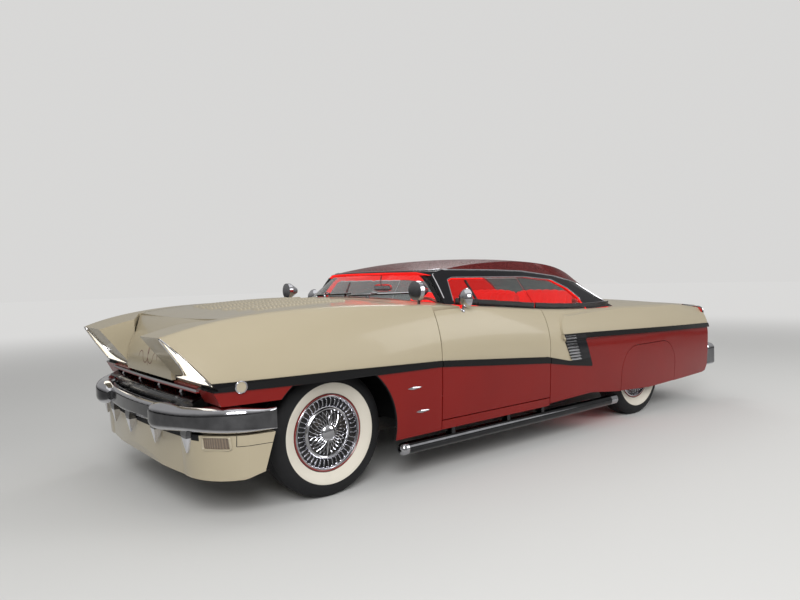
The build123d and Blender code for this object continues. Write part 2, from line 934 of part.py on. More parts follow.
# Rear axle with its leaf springs
with BuildPart() as rear_axle_beam:
    add(cylinder_across(rear_axle, tyre_radius, 38, -620, 620))
    add(cylinder_across(rear_axle, tyre_radius, 105, -60, 60))
    add(cylinder_across(rear_axle, tyre_radius, hub_bore - spindle_gap, -track_rear / 2 - 30, track_rear / 2 + 30))
    for side in (-1, 1):
        add(box(-2150, -1120, side * 475 - 30, side * 475 + 30, 285, 312))
        add(box(-1160, -1120, side * 455.15 - 49.85, side * 455.15 + 49.85, 240, 300))
        add(box(-2150, -2115, side * 455.15 - 49.85, side * 455.15 + 49.85, 300, 400))
        add(box(rear_axle - 60, rear_axle + 60, side * 475 - 35, side * 475 + 35, 285, 335))
rear_axle_beam.part.label = "rear_axle"
with BuildPart() as fuel_tank:
    add(box(-2380, -1950, -330, 330, 260, trunk_floor - floor_plate - seat_gap))
fuel_tank.part.label = "fuel_tank"

# Valance under the bumper
bumper_low = 462
valance_low = 232
valance_high = 452
valance_outline = (
    (1962, 262),
    (2060, 236),
    (2160, valance_low),
    (2260, valance_low),
    (2330, valance_high),
    (1912, valance_high),
)
with BuildPart() as valance_block:
    with BuildSketch(Plane.XY.offset(valance_low - 10)):
        with BuildLine():
            Polyline((at(1900), 944), (at(1900), -944), (at(2040), -926))
            ThreePointArc((at(2040), -926), (at(2170), -830), (at(2236), -600))
            ThreePointArc((at(2236), -600), (at(2272), 0), (at(2236), 600))
            ThreePointArc((at(2236), 600), (at(2170), 830), (at(2040), 926))
            Line((at(2040), 926), (at(1900), 944))
        make_face()
    extrude(amount=240, taper=-4)
with BuildPart() as valance_core:
    add(box(1800, 2190, -560, 560, low, high))
    add(box(1800, 2110, -780, 780, low, high))
    add(box(1800, 2020, -895, 895, low, high))
valance_sides = side_block(valance_outline, -half, half)
parking_y = 845
parking_wide = 104
parking_low = 390
parking_high = 444
parking_hole = shape(
    box(2060, 2300, parking_y - parking_wide / 2, parking_y + parking_wide / 2, parking_low, parking_high),
    join=(box(2060, 2300, -parking_y - parking_wide / 2, -parking_y + parking_wide / 2, parking_low, parking_high),),
)
parking_glass = shape(valance_block.part, keep=(parking_hole,), cut=(valance_core.part,))
with BuildPart() as front_valance:
    add(valance_block.part)
    add(valance_sides, mode=Mode.INTERSECT)
    add(valance_core.part, mode=Mode.SUBTRACT)
    add(parking_hole, mode=Mode.SUBTRACT)
    add(box(2240, 2280, 280, 330, 440, bumper_low + 4 - seat_gap))
    add(box(2240, 2280, -330, -280, 440, bumper_low + 4 - seat_gap))
front_valance.part.label = "front_valance"
with BuildPart() as parking_lamps:
    add(parking_glass)
parking_lamps.part.label = "parking_lamps"

# Front bumper: a bar between two long end shells, with hanging teeth


def bumper_ring(station, y, turn, thick, tall, z):
    """Rounded section of a bumper shell, facing along the bumper line."""
    plane = Plane(
        origin=(at(station), y, z),
        x_dir=(cos(radians(turn)), sin(radians(turn)), 0),
        z_dir=(-sin(radians(turn)), cos(radians(turn)), 0),
    )
    with BuildSketch(plane) as ring:
        RectangleRounded(thick, tall, min(thick, tall) * 0.42)
    return ring


# Shell sections. Columns: station, y, facing angle, thickness, height, middle z
SHELL = (
    (2308, 388, 4, 40, 56, 515),
    (2312, 430, 8, 88, 112, 520),
    (2288, 600, 14, 104, 128, 526),
    (2180, 820, 42, 96, 126, 528),
    (2040, 932, 72, 66, 118, 524),
    (1905, 955, 84, 26, 108, 518),
)
with BuildPart() as shell_left:
    for row in SHELL:
        add(bumper_ring(*row).sketch)
    loft()
# Hanging teeth. Columns: station, y
TEETH = ((2240, 690), (2282, 360), (2300, 0), (2282, -360), (2240, -690))
tooth_width = 82
tooth_tip = 358
bar_outer = 2332
bar_bow = 46
with BuildPart() as bumper_bar:
    with BuildSketch(Plane.XY.offset(bumper_low + 4)):
        with BuildLine():
            a = (at(bar_outer - bar_bow), 560)
            ThreePointArc(a, (at(bar_outer), 0), (a[0], -a[1]))
            Line((a[0], -a[1]), (a[0] - 60, -a[1]))
            ThreePointArc((a[0] - 60, -a[1]), (at(bar_outer - 60), 0), (a[0] - 60, a[1]))
            Line((a[0] - 60, a[1]), a)
        make_face()
    extrude(amount=104)
    fillet(bumper_bar.edges().filter_by(Axis.Z, reverse=True), 22)
bumper_arm = side_block(
    ((2080.3, 345), (2080.3, 412), (2180, 545), (2250, 545), (2250, 480), (2180, 470)), 350, 400
)
with BuildPart() as front_bumper:
    add(bumper_bar.part)
    add(bumper_arm)
    add(mirror(bumper_arm, about=Plane.XZ))
    add(shell_left.part)
    add(mirror(shell_left.part, about=Plane.XZ))
    for station, y in TEETH:
        with BuildSketch(Plane(origin=(at(station), y, bumper_low + 22))):
            Rectangle(58, tooth_width)
        with BuildSketch(Plane(origin=(at(station + 6), y, bumper_low - 14))):
            Rectangle(50, tooth_width * 0.86)
        with BuildSketch(Plane(origin=(at(station + 12), y, tooth_tip))):
            Rectangle(8, 8)
        loft(ruled=True)
    add(front_valance.part, mode=Mode.SUBTRACT)
front_bumper.part.label = "front_bumper"

# Grille: a sloping back panel with a row of hooks, and the lip bar above the opening
lip_low = 644
lip_high = nose_lip - 14 - seat_gap
hook_pitch = 330
with BuildPart() as grille:
    with BuildSketch(Plane.XY.offset(lip_low)):
        with BuildLine():
            a = (at(nose_lip_front + 4), grille_half - seat_gap)
            ThreePointArc(a, (at(2214), 0), (a[0], -a[1]))
            Line((a[0], -a[1]), (at(2108), -a[1]))
            Line((at(2108), -a[1]), (at(2108), a[1]))
            Line((at(2108), a[1]), a)
        make_face()
    extrude(amount=lip_high - lip_low)
    panel_edge = grille_half - seat_gap
    add(side_block(((2108, 650), (2120, 650), (2226, 606), (2226, 598), (2108, 640)), -panel_edge, panel_edge))
    for number in range(-2, 2):
        y = hook_pitch * (number + 0.5)
        add(side_block(((2150, 620), (2190, 604), (2206, 626), (2200, 640), (2188, 624), (2168, 632)), y - 14, y + 14))
grille.part.label = "grille"


# Tail lamps on the fender ends
with BuildPart() as tail_lamps:
    for side in (-1, 1):
        lens_plane = Plane(origin=(at(-2606.3), side * 800, 768), x_dir=(0, 1, 0), z_dir=(-1, 0, 0))
        with BuildSketch(lens_plane):
            RectangleRounded(96, 150, 40)
        extrude(amount=34, taper=22)
tail_lamps.part.label = "tail_lamps"

# Rear bumper: a bar with rounded upright end pods
pod_y = 792
pod_wide = 140
pod_long = 190
pod_low = 288
pod_high = 492
pod_plane = Plane(origin=(at(-length / 2 - mid + pod_long / 2), 0, pod_low))
with BuildPart() as pod_block:
    with BuildSketch(pod_plane):
        RectangleRounded(pod_long, pod_wide, pod_wide * 0.42)
    extrude(amount=pod_high - pod_low)
    fillet(pod_block.edges().filter_by(lambda edge: abs(edge.center().Z - pod_low) < 1), 30)
    fillet(pod_block.edges().filter_by(lambda edge: abs(edge.center().Z - pod_high) < 1), 48)
pod = pod_block.part
with BuildPart() as rear_bumper:
    with BuildSketch(Plane.XY.offset(330)):
        with BuildLine():
            a = (at(-2700), 840)
            ThreePointArc(a, (at(-2742), 0), (a[0], -a[1]))
            Line((a[0], -a[1]), (a[0] + 50, -a[1]))
            ThreePointArc((a[0] + 50, -a[1]), (at(-2692), 0), (a[0] + 50, a[1]))
            Line((a[0] + 50, a[1]), a)
        make_face()
    extrude(amount=110)
    for side in (-1, 1):
        add(pod.moved(Location((0, side * pod_y, 0))))
    add(pair(bracket(0)))
rear_bumper.part.label = "rear_bumper"

# Exhaust side pipes under the rockers
pipe_z = 202
pipe_radius = 37
pipe_y = 915
pipe_rear = -1040
pipe_front = 1110
with BuildPart() as pipe_left:
    with BuildSketch(Plane(origin=(at(pipe_rear), pipe_y, pipe_z), x_dir=(0, 1, 0), z_dir=(1, 0, 0))):
        Circle(pipe_radius)
    extrude(amount=pipe_front - pipe_rear)
    fillet(pipe_left.edges().filter_by(lambda edge: abs(edge.center().X - at(pipe_front)) < 1), pipe_radius * 0.8)
    with BuildSketch(Plane(origin=(at(pipe_rear), pipe_y, pipe_z), x_dir=(0, 1, 0), z_dir=(1, 0, 0))):
        Circle(pipe_radius - 3)
    extrude(amount=220, mode=Mode.SUBTRACT)
    for station in (700, 200, -150):
        add(box(station - 15, station + 15, pipe_y - 30, pipe_y + 20, pipe_z, rocker_bottom + 19.7))
with BuildPart() as side_pipes:
    add(pipe_left.part)
    add(mirror(pipe_left.part, about=Plane.XZ))
side_pipes.part.label = "side_pipes"

# Interior: seats, dashboard, steering column and wheel
SEATS = (
    ("front_seat", 165, -335, 600, 1040),
    ("rear_seat", -590, -1010, 575, 1040),
)
seat_parts = []
for name, front, back, half_width, top in SEATS:
    with BuildPart() as seat:
        with BuildSketch(Plane.XZ.offset(half_width)):
            with BuildLine():
                Polyline(
                    (at(front), floor_top),
                    (at(front - 10), 480),
                    (at(front - 60), 520),
                    (at(back + 175), 490),
                    (at(back + 90), top - 30),
                    (at(back + 50), top),
                    (at(back + 5), top - 20),
                    (at(back + 60), floor_top),
                    close=True,
                )
            make_face()
        extrude(amount=-2 * half_width)
    seat.part.label = name
    seat_parts = seat_parts + [seat.part]
with BuildPart() as dashboard:
    with BuildSketch(Plane.XZ.offset(737)):
        with BuildLine():
            Polyline(
                (at(firewall_front - 22.3), 780),
                (at(600), 780),
                (at(560), 900),
                (at(590), 965),
                (at(firewall_front - 22.3), 985),
                close=True,
            )
        make_face()
    extrude(amount=-2 * 737)
dashboard.part.label = "dashboard"
column_y = 380
column_tilt = 24
hub_station = 330
hub_z = 850
column_dir = Vector(-cos(radians(column_tilt)), 0, sin(radians(column_tilt)))
hub_plane = Plane(origin=(at(hub_station), column_y, hub_z), x_dir=(0, 1, 0), z_dir=column_dir)
with BuildPart() as steering_column:
    with BuildSketch(hub_plane.offset(-24.3)):
        Circle(26)
    extrude(amount=-640)
    add(box(firewall_front - 22.3, 1300, 0, 700, low, high), mode=Mode.SUBTRACT)
steering_column.part.label = "steering_column"
with BuildPart() as steering_wheel:
    with BuildSketch(Plane(origin=hub_plane.origin, x_dir=hub_plane.z_dir, z_dir=hub_plane.y_dir)):
        with Locations((0, 205)):
            Circle(11)
    revolve(axis=Axis(hub_plane.origin, hub_plane.z_dir))
    with BuildSketch(hub_plane.offset(-24)):
        Circle(34)
    extrude(amount=30)
    with BuildSketch(hub_plane.offset(-8)):
        Rectangle(400, 22)
    extrude(amount=10)
steering_wheel.part.label = "steering_wheel"

# Spotlamps ahead of the windscreen pillars
with BuildPart() as spotlamps:
    for side in (-1, 1):
        with BuildSketch(Plane(origin=(at(830), side * 790, 1104), x_dir=(0, 1, 0), z_dir=(1, 0, 0))):
            Circle(60)
        extrude(amount=30)
        with BuildSketch(Plane(origin=(at(830), side * 790, 1104), x_dir=(0, 1, 0), z_dir=(-1, 0, 0))):
            Circle(60)
        extrude(amount=60, taper=32)
        add(cylinder_up(830, side * 790, 9, 1000, 1080))
    add(clear_skin, mode=Mode.SUBTRACT)
spotlamps.part.label = "spotlamps"


def other_side(part, label):
    """The same piece on the right side of the car."""
    copy = mirror(part, about=Plane.XZ)
    copy.label = label
    return copy


pieces = [
    hood.part,
    fender_left.part,
    other_side(fender_left.part, "fender_right"),
    door_left.part,
    other_side(door_left.part, "door_right"),
    door_glass_left.part,
    other_side(door_glass_left.part, "door_glass_right"),
    knuckle_left.part,
    other_side(knuckle_left.part, "knuckle_right"),
    roof.part,
    windscreen.part,
    rear_windows.part,
    cowl.part,
    body_rear.part,
    trunk_lid.part,
    fender_skirts.part,
    floor_pan.part,
    chassis_frame.part,
    engine_block.part,
    radiator.part,
    front_suspension.part,
    rear_axle_beam.part,
    fuel_tank.part,
    front_bumper.part,
    front_valance.part,
    parking_lamps.part,
    grille.part,
    headlamps.part,
    tail_lamps.part,
    rear_bumper.part,
    side_pipes.part,
    dashboard.part,
    steering_column.part,
    steering_wheel.part,
    spotlamps.part,
]
rockers = Part(Compound(children=[rocker_left.part, other_side(rocker_left.part, "")]).wrapped)
rockers.label = "rockers"
for piece in pieces + [rockers] + seat_parts + wheel_parts:
    export_step(piece, f"parts/{piece.label}.step")
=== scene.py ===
"""Looks of a chopped and lowered two-door hardtop of the 1950s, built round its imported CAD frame."""

import math

import bmesh
import bpy
from mathutils import Matrix, Vector
from mathutils.bvhtree import BVHTree


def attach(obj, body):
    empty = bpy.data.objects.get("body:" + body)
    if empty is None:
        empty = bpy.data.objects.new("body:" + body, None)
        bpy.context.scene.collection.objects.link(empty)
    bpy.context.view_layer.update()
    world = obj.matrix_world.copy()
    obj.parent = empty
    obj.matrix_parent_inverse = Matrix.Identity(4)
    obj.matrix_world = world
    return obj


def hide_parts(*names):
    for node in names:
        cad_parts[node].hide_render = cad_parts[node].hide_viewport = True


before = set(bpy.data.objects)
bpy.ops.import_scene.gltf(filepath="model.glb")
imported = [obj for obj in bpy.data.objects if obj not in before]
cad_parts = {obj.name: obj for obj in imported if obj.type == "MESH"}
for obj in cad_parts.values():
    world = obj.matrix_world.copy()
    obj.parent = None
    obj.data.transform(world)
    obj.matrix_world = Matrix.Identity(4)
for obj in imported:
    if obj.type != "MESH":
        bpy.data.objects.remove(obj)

bl_info = {
    "name": "Two-door hardtop car",
    "version": (1, 0, 0),
    "blender": (4, 2, 0),
    "location": "3D View > Sidebar > Hardtop",
    "description": "Materials, trim, upholstery and studio of a two-door hardtop car",
    "category": "Object",
}

SIDES = ((1, "left"), (-1, "right"))
TURN = 2 * math.pi
AHEAD = Vector((1, 0, 0))
LEFTWARD = Vector((0, 1, 0))
UPWARD = Vector((0, 0, 1))
NO_LIGHT = (0.0, 0.0, 0.0, 1.0)
# Car x of the middle of the wheelbase, from which stations count in millimetres
MID = 0.230

# Side mouldings, louvre panel and drip line as stations and heights in millimetres
MAIN_LOW = ((2230, 667), (1511, 655), (813, 649), (-186, 569), (-443, 529), (-690, 499))
MAIN_HIGH = ((2230, 711), (1511, 705), (813, 687), (-186, 614), (-443, 560), (-690, 529))
UPPER_LOW = ((-350, 721), (-2640, 659))
UPPER_HIGH = ((-350, 757), (-600, 753), (-2640, 697))
PANEL_FRONT = ((-452, 552), (-352, 752))
PANEL_REAR = ((-700, 506), (-610, 745))
SLAT_START = ((-440, 566), (-366, 742))
SLAT_LOW = 0.564
SLAT_PITCH = 0.022
DRIP = ((640, 1215), (515, 1232), (0, 1222), (-300, 1210), (-700, 1165), (-960, 1106), (-1195, 935))
PILLAR_EDGE = ((-955, 1112), (-1080, 1026), (-1200, 945))
WINDOW = ((532, 1028), (482, 1164), (437, 1178), (-283, 1170))
WINDOW += ((-603, 1142), (-743, 1074), (-803, 1004), (-809, 979))
VENT_POST = ((316, 1004), (322, 1156))
# Back light as stations and y in millimetres
BACK_LIGHT = ((-952, -448), (-952, 448), (-1346, 526), (-1390, 260))
BACK_LIGHT += ((-1412, 0), (-1390, -260), (-1346, -526), (-952, -448))
# Pinstripe scrolls on the hood's nose: centre y and z, radius, y range, z range
SCROLLS = (
    (0.042, 0.778, 0.042, (0.0, 0.082), (0.730, 0.7665)),
    (0.118, 0.7625, 0.036, (0.080, 0.160), (0.7625, 0.800)),
    (-0.050, 0.815, 0.060, (0.0, 0.012), (0.781, 0.849)),
)
# Outline of a headlamp from the front as y and z in millimetres, and its raked plane
LAMP = ((690, 935), (742, 898), (812, 812), (868, 712), (872, 692))
LAMP += ((402, 692), (402, 700), (600, 722), (652, 790), (672, 860))
LAMP_FOOT = 2185
LAMP_FOOT_HEIGHT = 690
LAMP_SLOPE = 191 / 246
# Side outlines of the front seat's pads as stations and heights in millimetres
CUSHION = ((168, 302), (172, 440), (150, 520), (60, 528))
CUSHION += ((-90, 506), (-170, 494), (-196, 420), (-200, 302))
BACKREST = ((-172, 474), (-196, 600), (-236, 900), (-258, 1012), (-288, 1046), (-322, 1034))
BACKREST += ((-334, 990), (-312, 700), (-288, 440), (-276, 304), (-222, 304), (-204, 420))

# Turned forms in millimetres: along the axle, radius, material of the band that follows (0 if left out)
TYRE_TREAD = (
    (-58, 212.3), (-72, 232), (-86, 258), (-91.5, 290), (-86, 316), (-76, 334), (-66, 345), (-50, 348.5),
    (-36, 349.2), (-35, 342), (-30, 342), (-29, 349.6), (-14, 349.8), (-13, 342), (-8, 342), (-7, 350),
    (7, 350), (8, 342), (13, 342), (14, 349.8), (29, 349.6), (30, 342), (35, 342), (36, 349.2),
    (50, 348.5), (66, 345), (76, 334), (84, 320), (89, 304), (91.5, 290), (90.5, 279),
)
TYRE_WHITE = ((91.2, 276, 1), (87.5, 262, 1), (80.5, 246, 1), (73.5, 231, 1), (66, 219.5, 1))
TYRE = TYRE_TREAD + TYRE_WHITE + ((64, 215), (58, 212.3))
COVER = (
    (34, 1, 2), (34, 170, 2), (8, 196, 2), (-68, 206, 2), (-68, 211.8, 2), (60, 211.8, 1), (67, 211, 1),
    (68.5, 207.5, 1), (66, 204), (69, 201), (69, 196), (60, 190), (50, 188, 2), (44, 186, 2), (43, 150, 2),
    (48, 147), (58, 145), (64, 140), (68, 134), (66, 128), (58, 123, 2), (46, 120, 2), (50, 90, 2),
    (56, 50, 2), (58, 1),
)
HUB_CAP = ((60, 46), (72, 44), (80, 34), (84, 20), (85, 1))
LID_LOCK = ((-2, 17), (4, 17), (7, 13), (6, 9))
ROUNDEL = ((-4, 31), (4, 31), (6.5, 28), (6.5, 25.5), (4, 24, 1), (5.5, 12, 1), (6, 1, 1))
WIPER_FOOT = ((-4, 14), (10, 13), (18, 9), (19, 1))
MIRROR_FOOT = ((-4, 16), (3, 15), (6, 9), (7, 1))
MIRROR_HEAD = ((-46, 1), (-43, 20), (-32, 42), (-12, 57), (4, 62), (6, 58, 1), (4, 1, 1))
KNOB = ((-2, 6), (10, 6), (14, 13), (24, 13), (27, 9), (28, 1))
HORN_BUTTON = ((4, 40), (16, 38), (24, 26), (27, 1))
WINDER = ((-1, 24), (6, 22), (12, 12), (22, 11), (24, 1))

# Dials as y and radius, and their height
DIALS = ((0.38, 0.062), (0.52, 0.040), (0.24, 0.040), (0.0, 0.034))
DIAL_HEIGHT = 0.880
# Rows of louvres on one side: y, first station, count
LOUVRE_ROWS = ((0.105, 1790, 26), (0.275, 1775, 25), (0.440, 1750, 24))
# One louvre's section as distance back and rise
LOUVRE = ((0.0, -0.0008), (0.005, 0.0055), (0.010, 0.0100), (0.0140, 0.0118), (0.0150, -0.0008))
# Splash pan's section as x and z
PAN = ((-0.006, 0.600), (-0.004, 0.560), (0.000, 0.520), (0.006, 0.474))
PAN += ((0.002, 0.474), (-0.005, 0.520), (-0.009, 0.560), (-0.011, 0.600))
# Sections of a visor and of an arm rest
VISOR = ((-0.070, 0.010), (-0.074, 0.0), (-0.070, -0.010), (0.070, -0.009), (0.074, 0.0), (0.070, 0.009))
ARM_REST = ((0.0, 0.0), (0.055, 0.004), (0.062, -0.020), (0.050, -0.055), (0.0, -0.060))
# How those sections swell along their pads: share of the length, scale
VISOR_SWELL = ((0.0, 0.4), (0.02, 0.85), (0.06, 1.0), (0.5, 1.0), (0.94, 1.0), (0.98, 0.85), (1.0, 0.4))
ARM_REST_SWELL = ((0.0, 0.55), (0.03, 0.9), (0.12, 1.0), (0.5, 1.0))
ARM_REST_SWELL += ((0.88, 1.0), (0.97, 0.9), (1.0, 0.55))
# Inner mirror from its glass to its back: distance behind its middle, scale
MIRROR_SHELL = ((0.004, 0.2), (0.006, 0.9), (0.0, 1.0), (-0.010, 0.96), (-0.016, 0.7), (-0.018, 0.2))
# Inputs of the Principled node by their short names here
INPUTS = {
    "metal": "Metallic",
    "specular": "Specular IOR Level",
    "coat": "Coat Weight",
    "coat_ior": "Coat IOR",
    "coat_rough": "Coat Roughness",
    "lit": "Emission Color",
    "power": "Emission Strength",
    "clear": "Transmission Weight",
    "ior": "IOR",
}


def at(station):
    """Car x in metres of a station in millimetres from the middle of the wheelbase."""
    return MID + station / 1000.0


def metres(points):
    """Points of a side view from millimetres to metres along the car."""
    return [(at(x), z / 1000.0) for x, z in points]


def steps(start, end, count):
    """Evenly spaced values from start to end."""
    return [start + (end - start) * k / count for k in range(count + 1)]


def turns(count):
    """Angles of one full turn in equal steps."""
    return [TURN * k / count for k in range(count)]


def shade(colour, share=1.0):
    """A colour as four numbers, at a share of its brightness."""
    return tuple(min(1.0, c * share) for c in colour[:3]) + (1.0,)


def operator(operation, swapped=False):
    """A method that adds one scalar node to a value's tree."""

    def apply(self, other=0.0):
        first, second = (other, self) if swapped else (self, other)
        return self.graph.maths(operation, first, second)

    return apply


class Value:
    """A socket of a shader tree that takes part in arithmetic."""

    __add__ = operator("ADD")
    __radd__ = operator("ADD", True)
    __sub__ = operator("SUBTRACT")
    __rsub__ = operator("SUBTRACT", True)
    __mul__ = operator("MULTIPLY")
    __rmul__ = operator("MULTIPLY", True)
    __pow__ = operator("POWER")
    __mod__ = operator("FLOORED_MODULO")
    __gt__ = operator("GREATER_THAN")
    __lt__ = operator("LESS_THAN")
    __abs__ = operator("ABSOLUTE")
    sign = operator("SIGN")
    sin = operator("SINE")
    sqrt = operator("SQRT")
    high = operator("MAXIMUM")

    def __init__(self, graph, socket):
        self.graph = graph
        self.socket = socket

    def within(self, low, high):
        """1 between two levels and 0 beyond them."""
        return (self > low) * (self < high)

    def wave(self, length):
        """Sine of this value with a wavelength."""
        return (self * (TURN / length)).sin()

    def ramp(self, start, end):
        """0 at start and 1 at end, smooth between them."""
        values = {"Value": self, "From Min": start, "From Max": end}
        made = self.graph.node("ShaderNodeMapRange", values, interpolation_type="SMOOTHSTEP")
        return Value(self.graph, made.outputs["Result"])


class Graph:
    """The node tree of one material."""

    def __init__(self, name):
        self.material = bpy.data.materials.new(name)
        self.material.use_nodes = True
        self.tree = self.material.node_tree
        self.tree.nodes.clear()
        self.output = self.node("ShaderNodeOutputMaterial")
        place = self.node("ShaderNodeTexCoord")
        self.place = place.outputs["Object"]
        self.x, self.y, self.z = self.split(self.place)
        self.nx, self.ny, self.nz = self.split(place.outputs["Normal"])

    def put(self, socket, value):
        """Links or sets one input."""
        if isinstance(value, Value):
            self.tree.links.new(value.socket, socket)
        elif isinstance(value, bpy.types.NodeSocket):
            self.tree.links.new(value, socket)
        else:
            socket.default_value = value

    def node(self, kind, values=None, **settings):
        """A node of a kind, its settings first, then its inputs by name or number."""
        made = self.tree.nodes.new(kind)
        for name, value in settings.items():
            setattr(made, name, value)
        for name, value in (values or {}).items():
            self.put(made.inputs[name], value)
        return made

    def split(self, vector):
        """The three parts of a vector."""
        made = self.node("ShaderNodeSeparateXYZ", {"Vector": vector})
        return [Value(self, made.outputs[axis]) for axis in "XYZ"]

    def maths(self, operation, first, second=0.0):
        """One scalar operation."""
        made = self.node("ShaderNodeMath", {0: first, 1: second}, operation=operation)
        return Value(self, made.outputs[0])

    def mix(self, factor, first, second):
        """Two colours mixed by a factor."""
        return self.node("ShaderNodeMix", {0: factor, 6: first, 7: second}, data_type="RGBA").outputs[2]

    def tone(self, factor, colour, share):
        """A colour that varies between a share of itself and its full brightness."""
        return self.mix(factor, shade(colour, share), shade(colour))

    def noise(self, scale, detail=3.0, roughness=0.5, stretch=None):
        """Noise from 0 to 1 on the object's own coordinates."""
        source = self.place
        if stretch is not None:
            made = self.node("ShaderNodeVectorMath", {0: source, 1: stretch}, operation="MULTIPLY")
            source = made.outputs[0]
        values = {"Vector": source, "Scale": scale, "Detail": detail, "Roughness": roughness}
        return Value(self, self.node("ShaderNodeTexNoise", values).outputs[0])

    def cells(self, scale, output="Distance", feature="F1"):
        """Cell pattern on the object's own coordinates."""
        made = self.node("ShaderNodeTexVoronoi", {"Vector": self.place, "Scale": scale}, feature=feature)
        return Value(self, made.outputs[output])

    def line(self, value, points):
        """A broken line through points, read at value and held level beyond its ends."""
        points = sorted(points)
        total = points[0][1]
        for (start, first), (end, last) in zip(points, points[1:]):
            values = {"Value": value, "From Min": start, "From Max": end}
            values.update({"To Min": 0.0, "To Max": last - first})
            total = Value(self, self.node("ShaderNodeMapRange", values).outputs["Result"]) + total
        return total

    def polish(self):
        """Height, distance and strength of the faint marks in plating."""
        return self.noise(5.0, 2.0), 0.002, 0.12

    def surface(self, colour, rough, relief=None, **others):
        """Principled surface on the material's output. Relief is a height, its distance and strength."""
        values = {"Base Color": colour, "Roughness": rough}
        values.update((INPUTS[name], value) for name, value in others.items())
        if relief is not None:
            made = self.node("ShaderNodeBump", dict(zip(("Height", "Distance", "Strength"), relief)))
            values["Normal"] = made.outputs["Normal"]
        made = self.node("ShaderNodeBsdfPrincipled", values)
        self.put(self.output.inputs["Surface"], made.outputs[0])
        return self.material


def sized(name, default, text):
    """Length property."""
    return bpy.props.FloatProperty(name=name, default=default, description=text, unit="LENGTH")


def coloured(name, default, text):
    """Colour property."""
    return bpy.props.FloatVectorProperty(
        name=name, default=default, description=text, subtype="COLOR", size=3, min=0.0, max=1.0
    )


class HardtopSettings(bpy.types.PropertyGroup):
    """Colours and sizes of the car's looks."""

    cream: coloured("Upper paint", (0.41, 0.355, 0.250), "Paint above the side mouldings")
    red: coloured("Lower paint", (0.205, 0.004, 0.002), "Paint below the side mouldings")
    roof: coloured("Roof paint", (0.060, 0.004, 0.005), "Flaked roof paint")
    trim: coloured("Chrome", (0.40, 0.40, 0.42), "Bright metal")
    dark: coloured("Dark trim", (0.012, 0.012, 0.014), "Window frames and louvre panels")
    seat: coloured("Upholstery", (0.55, 0.012, 0.010), "Seat covers")
    white: coloured("Whitewall", (0.62, 0.58, 0.50), "Band on the tyres")
    louvre_wide: sized("Louvre width", 0.10, "Width of a hood louvre")
    louvre_pitch: sized("Louvre pitch", 0.025, "Distance between hood louvres")


def give(material, *names):
    """Gives a material to CAD nodes in place of what they had."""
    for name in names:
        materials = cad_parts[name].data.materials
        materials.clear()
        materials.append(material)


def side_zones(graph):
    """Masks of the lower colour, the mouldings, the louvre panel and its slats on the car's sides."""
    x, z = graph.x, graph.z
    flank = abs(graph.y) > 0.70
    low, high, upper_low, upper_high = (
        graph.line(x, metres(points)) for points in (MAIN_LOW, MAIN_HIGH, UPPER_LOW, UPPER_HIGH)
    )
    front, rear, start = (
        graph.line(z, [(height, place) for place, height in metres(points)])
        for points in (PANEL_FRONT, PANEL_REAR, SLAT_START)
    )
    ahead, behind = x > front, x < rear
    red = (z < low).high(behind * (z < upper_low)) * flank + (1.0 - flank) * (z < 0.675)
    cream = (ahead * (z > high)).high((x < at(-350)) * (z > upper_high)) * flank
    cream = cream + (1.0 - flank) * (z > 0.675)
    trim = (1.0 - red - cream).high(0.0)
    panel = trim * (1.0 - ahead) * (1.0 - behind) * z.within(0.562, 0.744)
    row = ((z - SLAT_LOW) % SLAT_PITCH) < 0.012
    slats = panel * row * (x < start) * (x > start - 0.118)
    return red, trim, panel, slats


def inward(graph):
    """Faces that look towards the car's middle."""
    far = (graph.x < at(2060)).high(graph.z < 0.69)
    return ((graph.ny * graph.y.sign()) < -0.25) * far * (abs(graph.y) > 0.62)


def arch_lips(graph):
    """Turned-in faces of the front wheel arches."""
    reach = ((graph.x - at(1545.5)) ** 2.0 + (graph.z - 0.345) ** 2.0).sqrt()
    return (reach < 0.4045) * (graph.z < 0.6585) * (abs(graph.y) > 0.5)


def cabin_side(graph):
    """Faces of the rear body that line the cabin."""
    return (abs(graph.y) < 0.8285) * (graph.x > at(-1125)) * (graph.z > 0.3)


def wheel_wells(graph):
    """Faces of the rear wheel wells and of the space under the body."""
    span = graph.x.within(at(-1912), at(-1110)) * (graph.z < 0.791)
    return (span * (abs(graph.y) < 0.9257)).high((graph.nz < -0.7) * (graph.z < 0.49))


def luggage(graph):
    """Faces of the luggage space."""
    inner = (abs(graph.y) < 0.6015) * (graph.z < 0.857)
    ledge = (abs(graph.y) < 0.6425) * (graph.z < 0.815)
    return inner.high(ledge) * graph.x.within(at(-2567), at(-1149))


def firewall_faces(graph):
    """Faces of the firewall below the cowl panel."""
    return (graph.z < 0.93) * (abs(graph.y) < 0.80)


def firewall_front(graph):
    """Faces of the firewall that look towards the engine."""
    return firewall_faces(graph) * (graph.nx > 0.2)


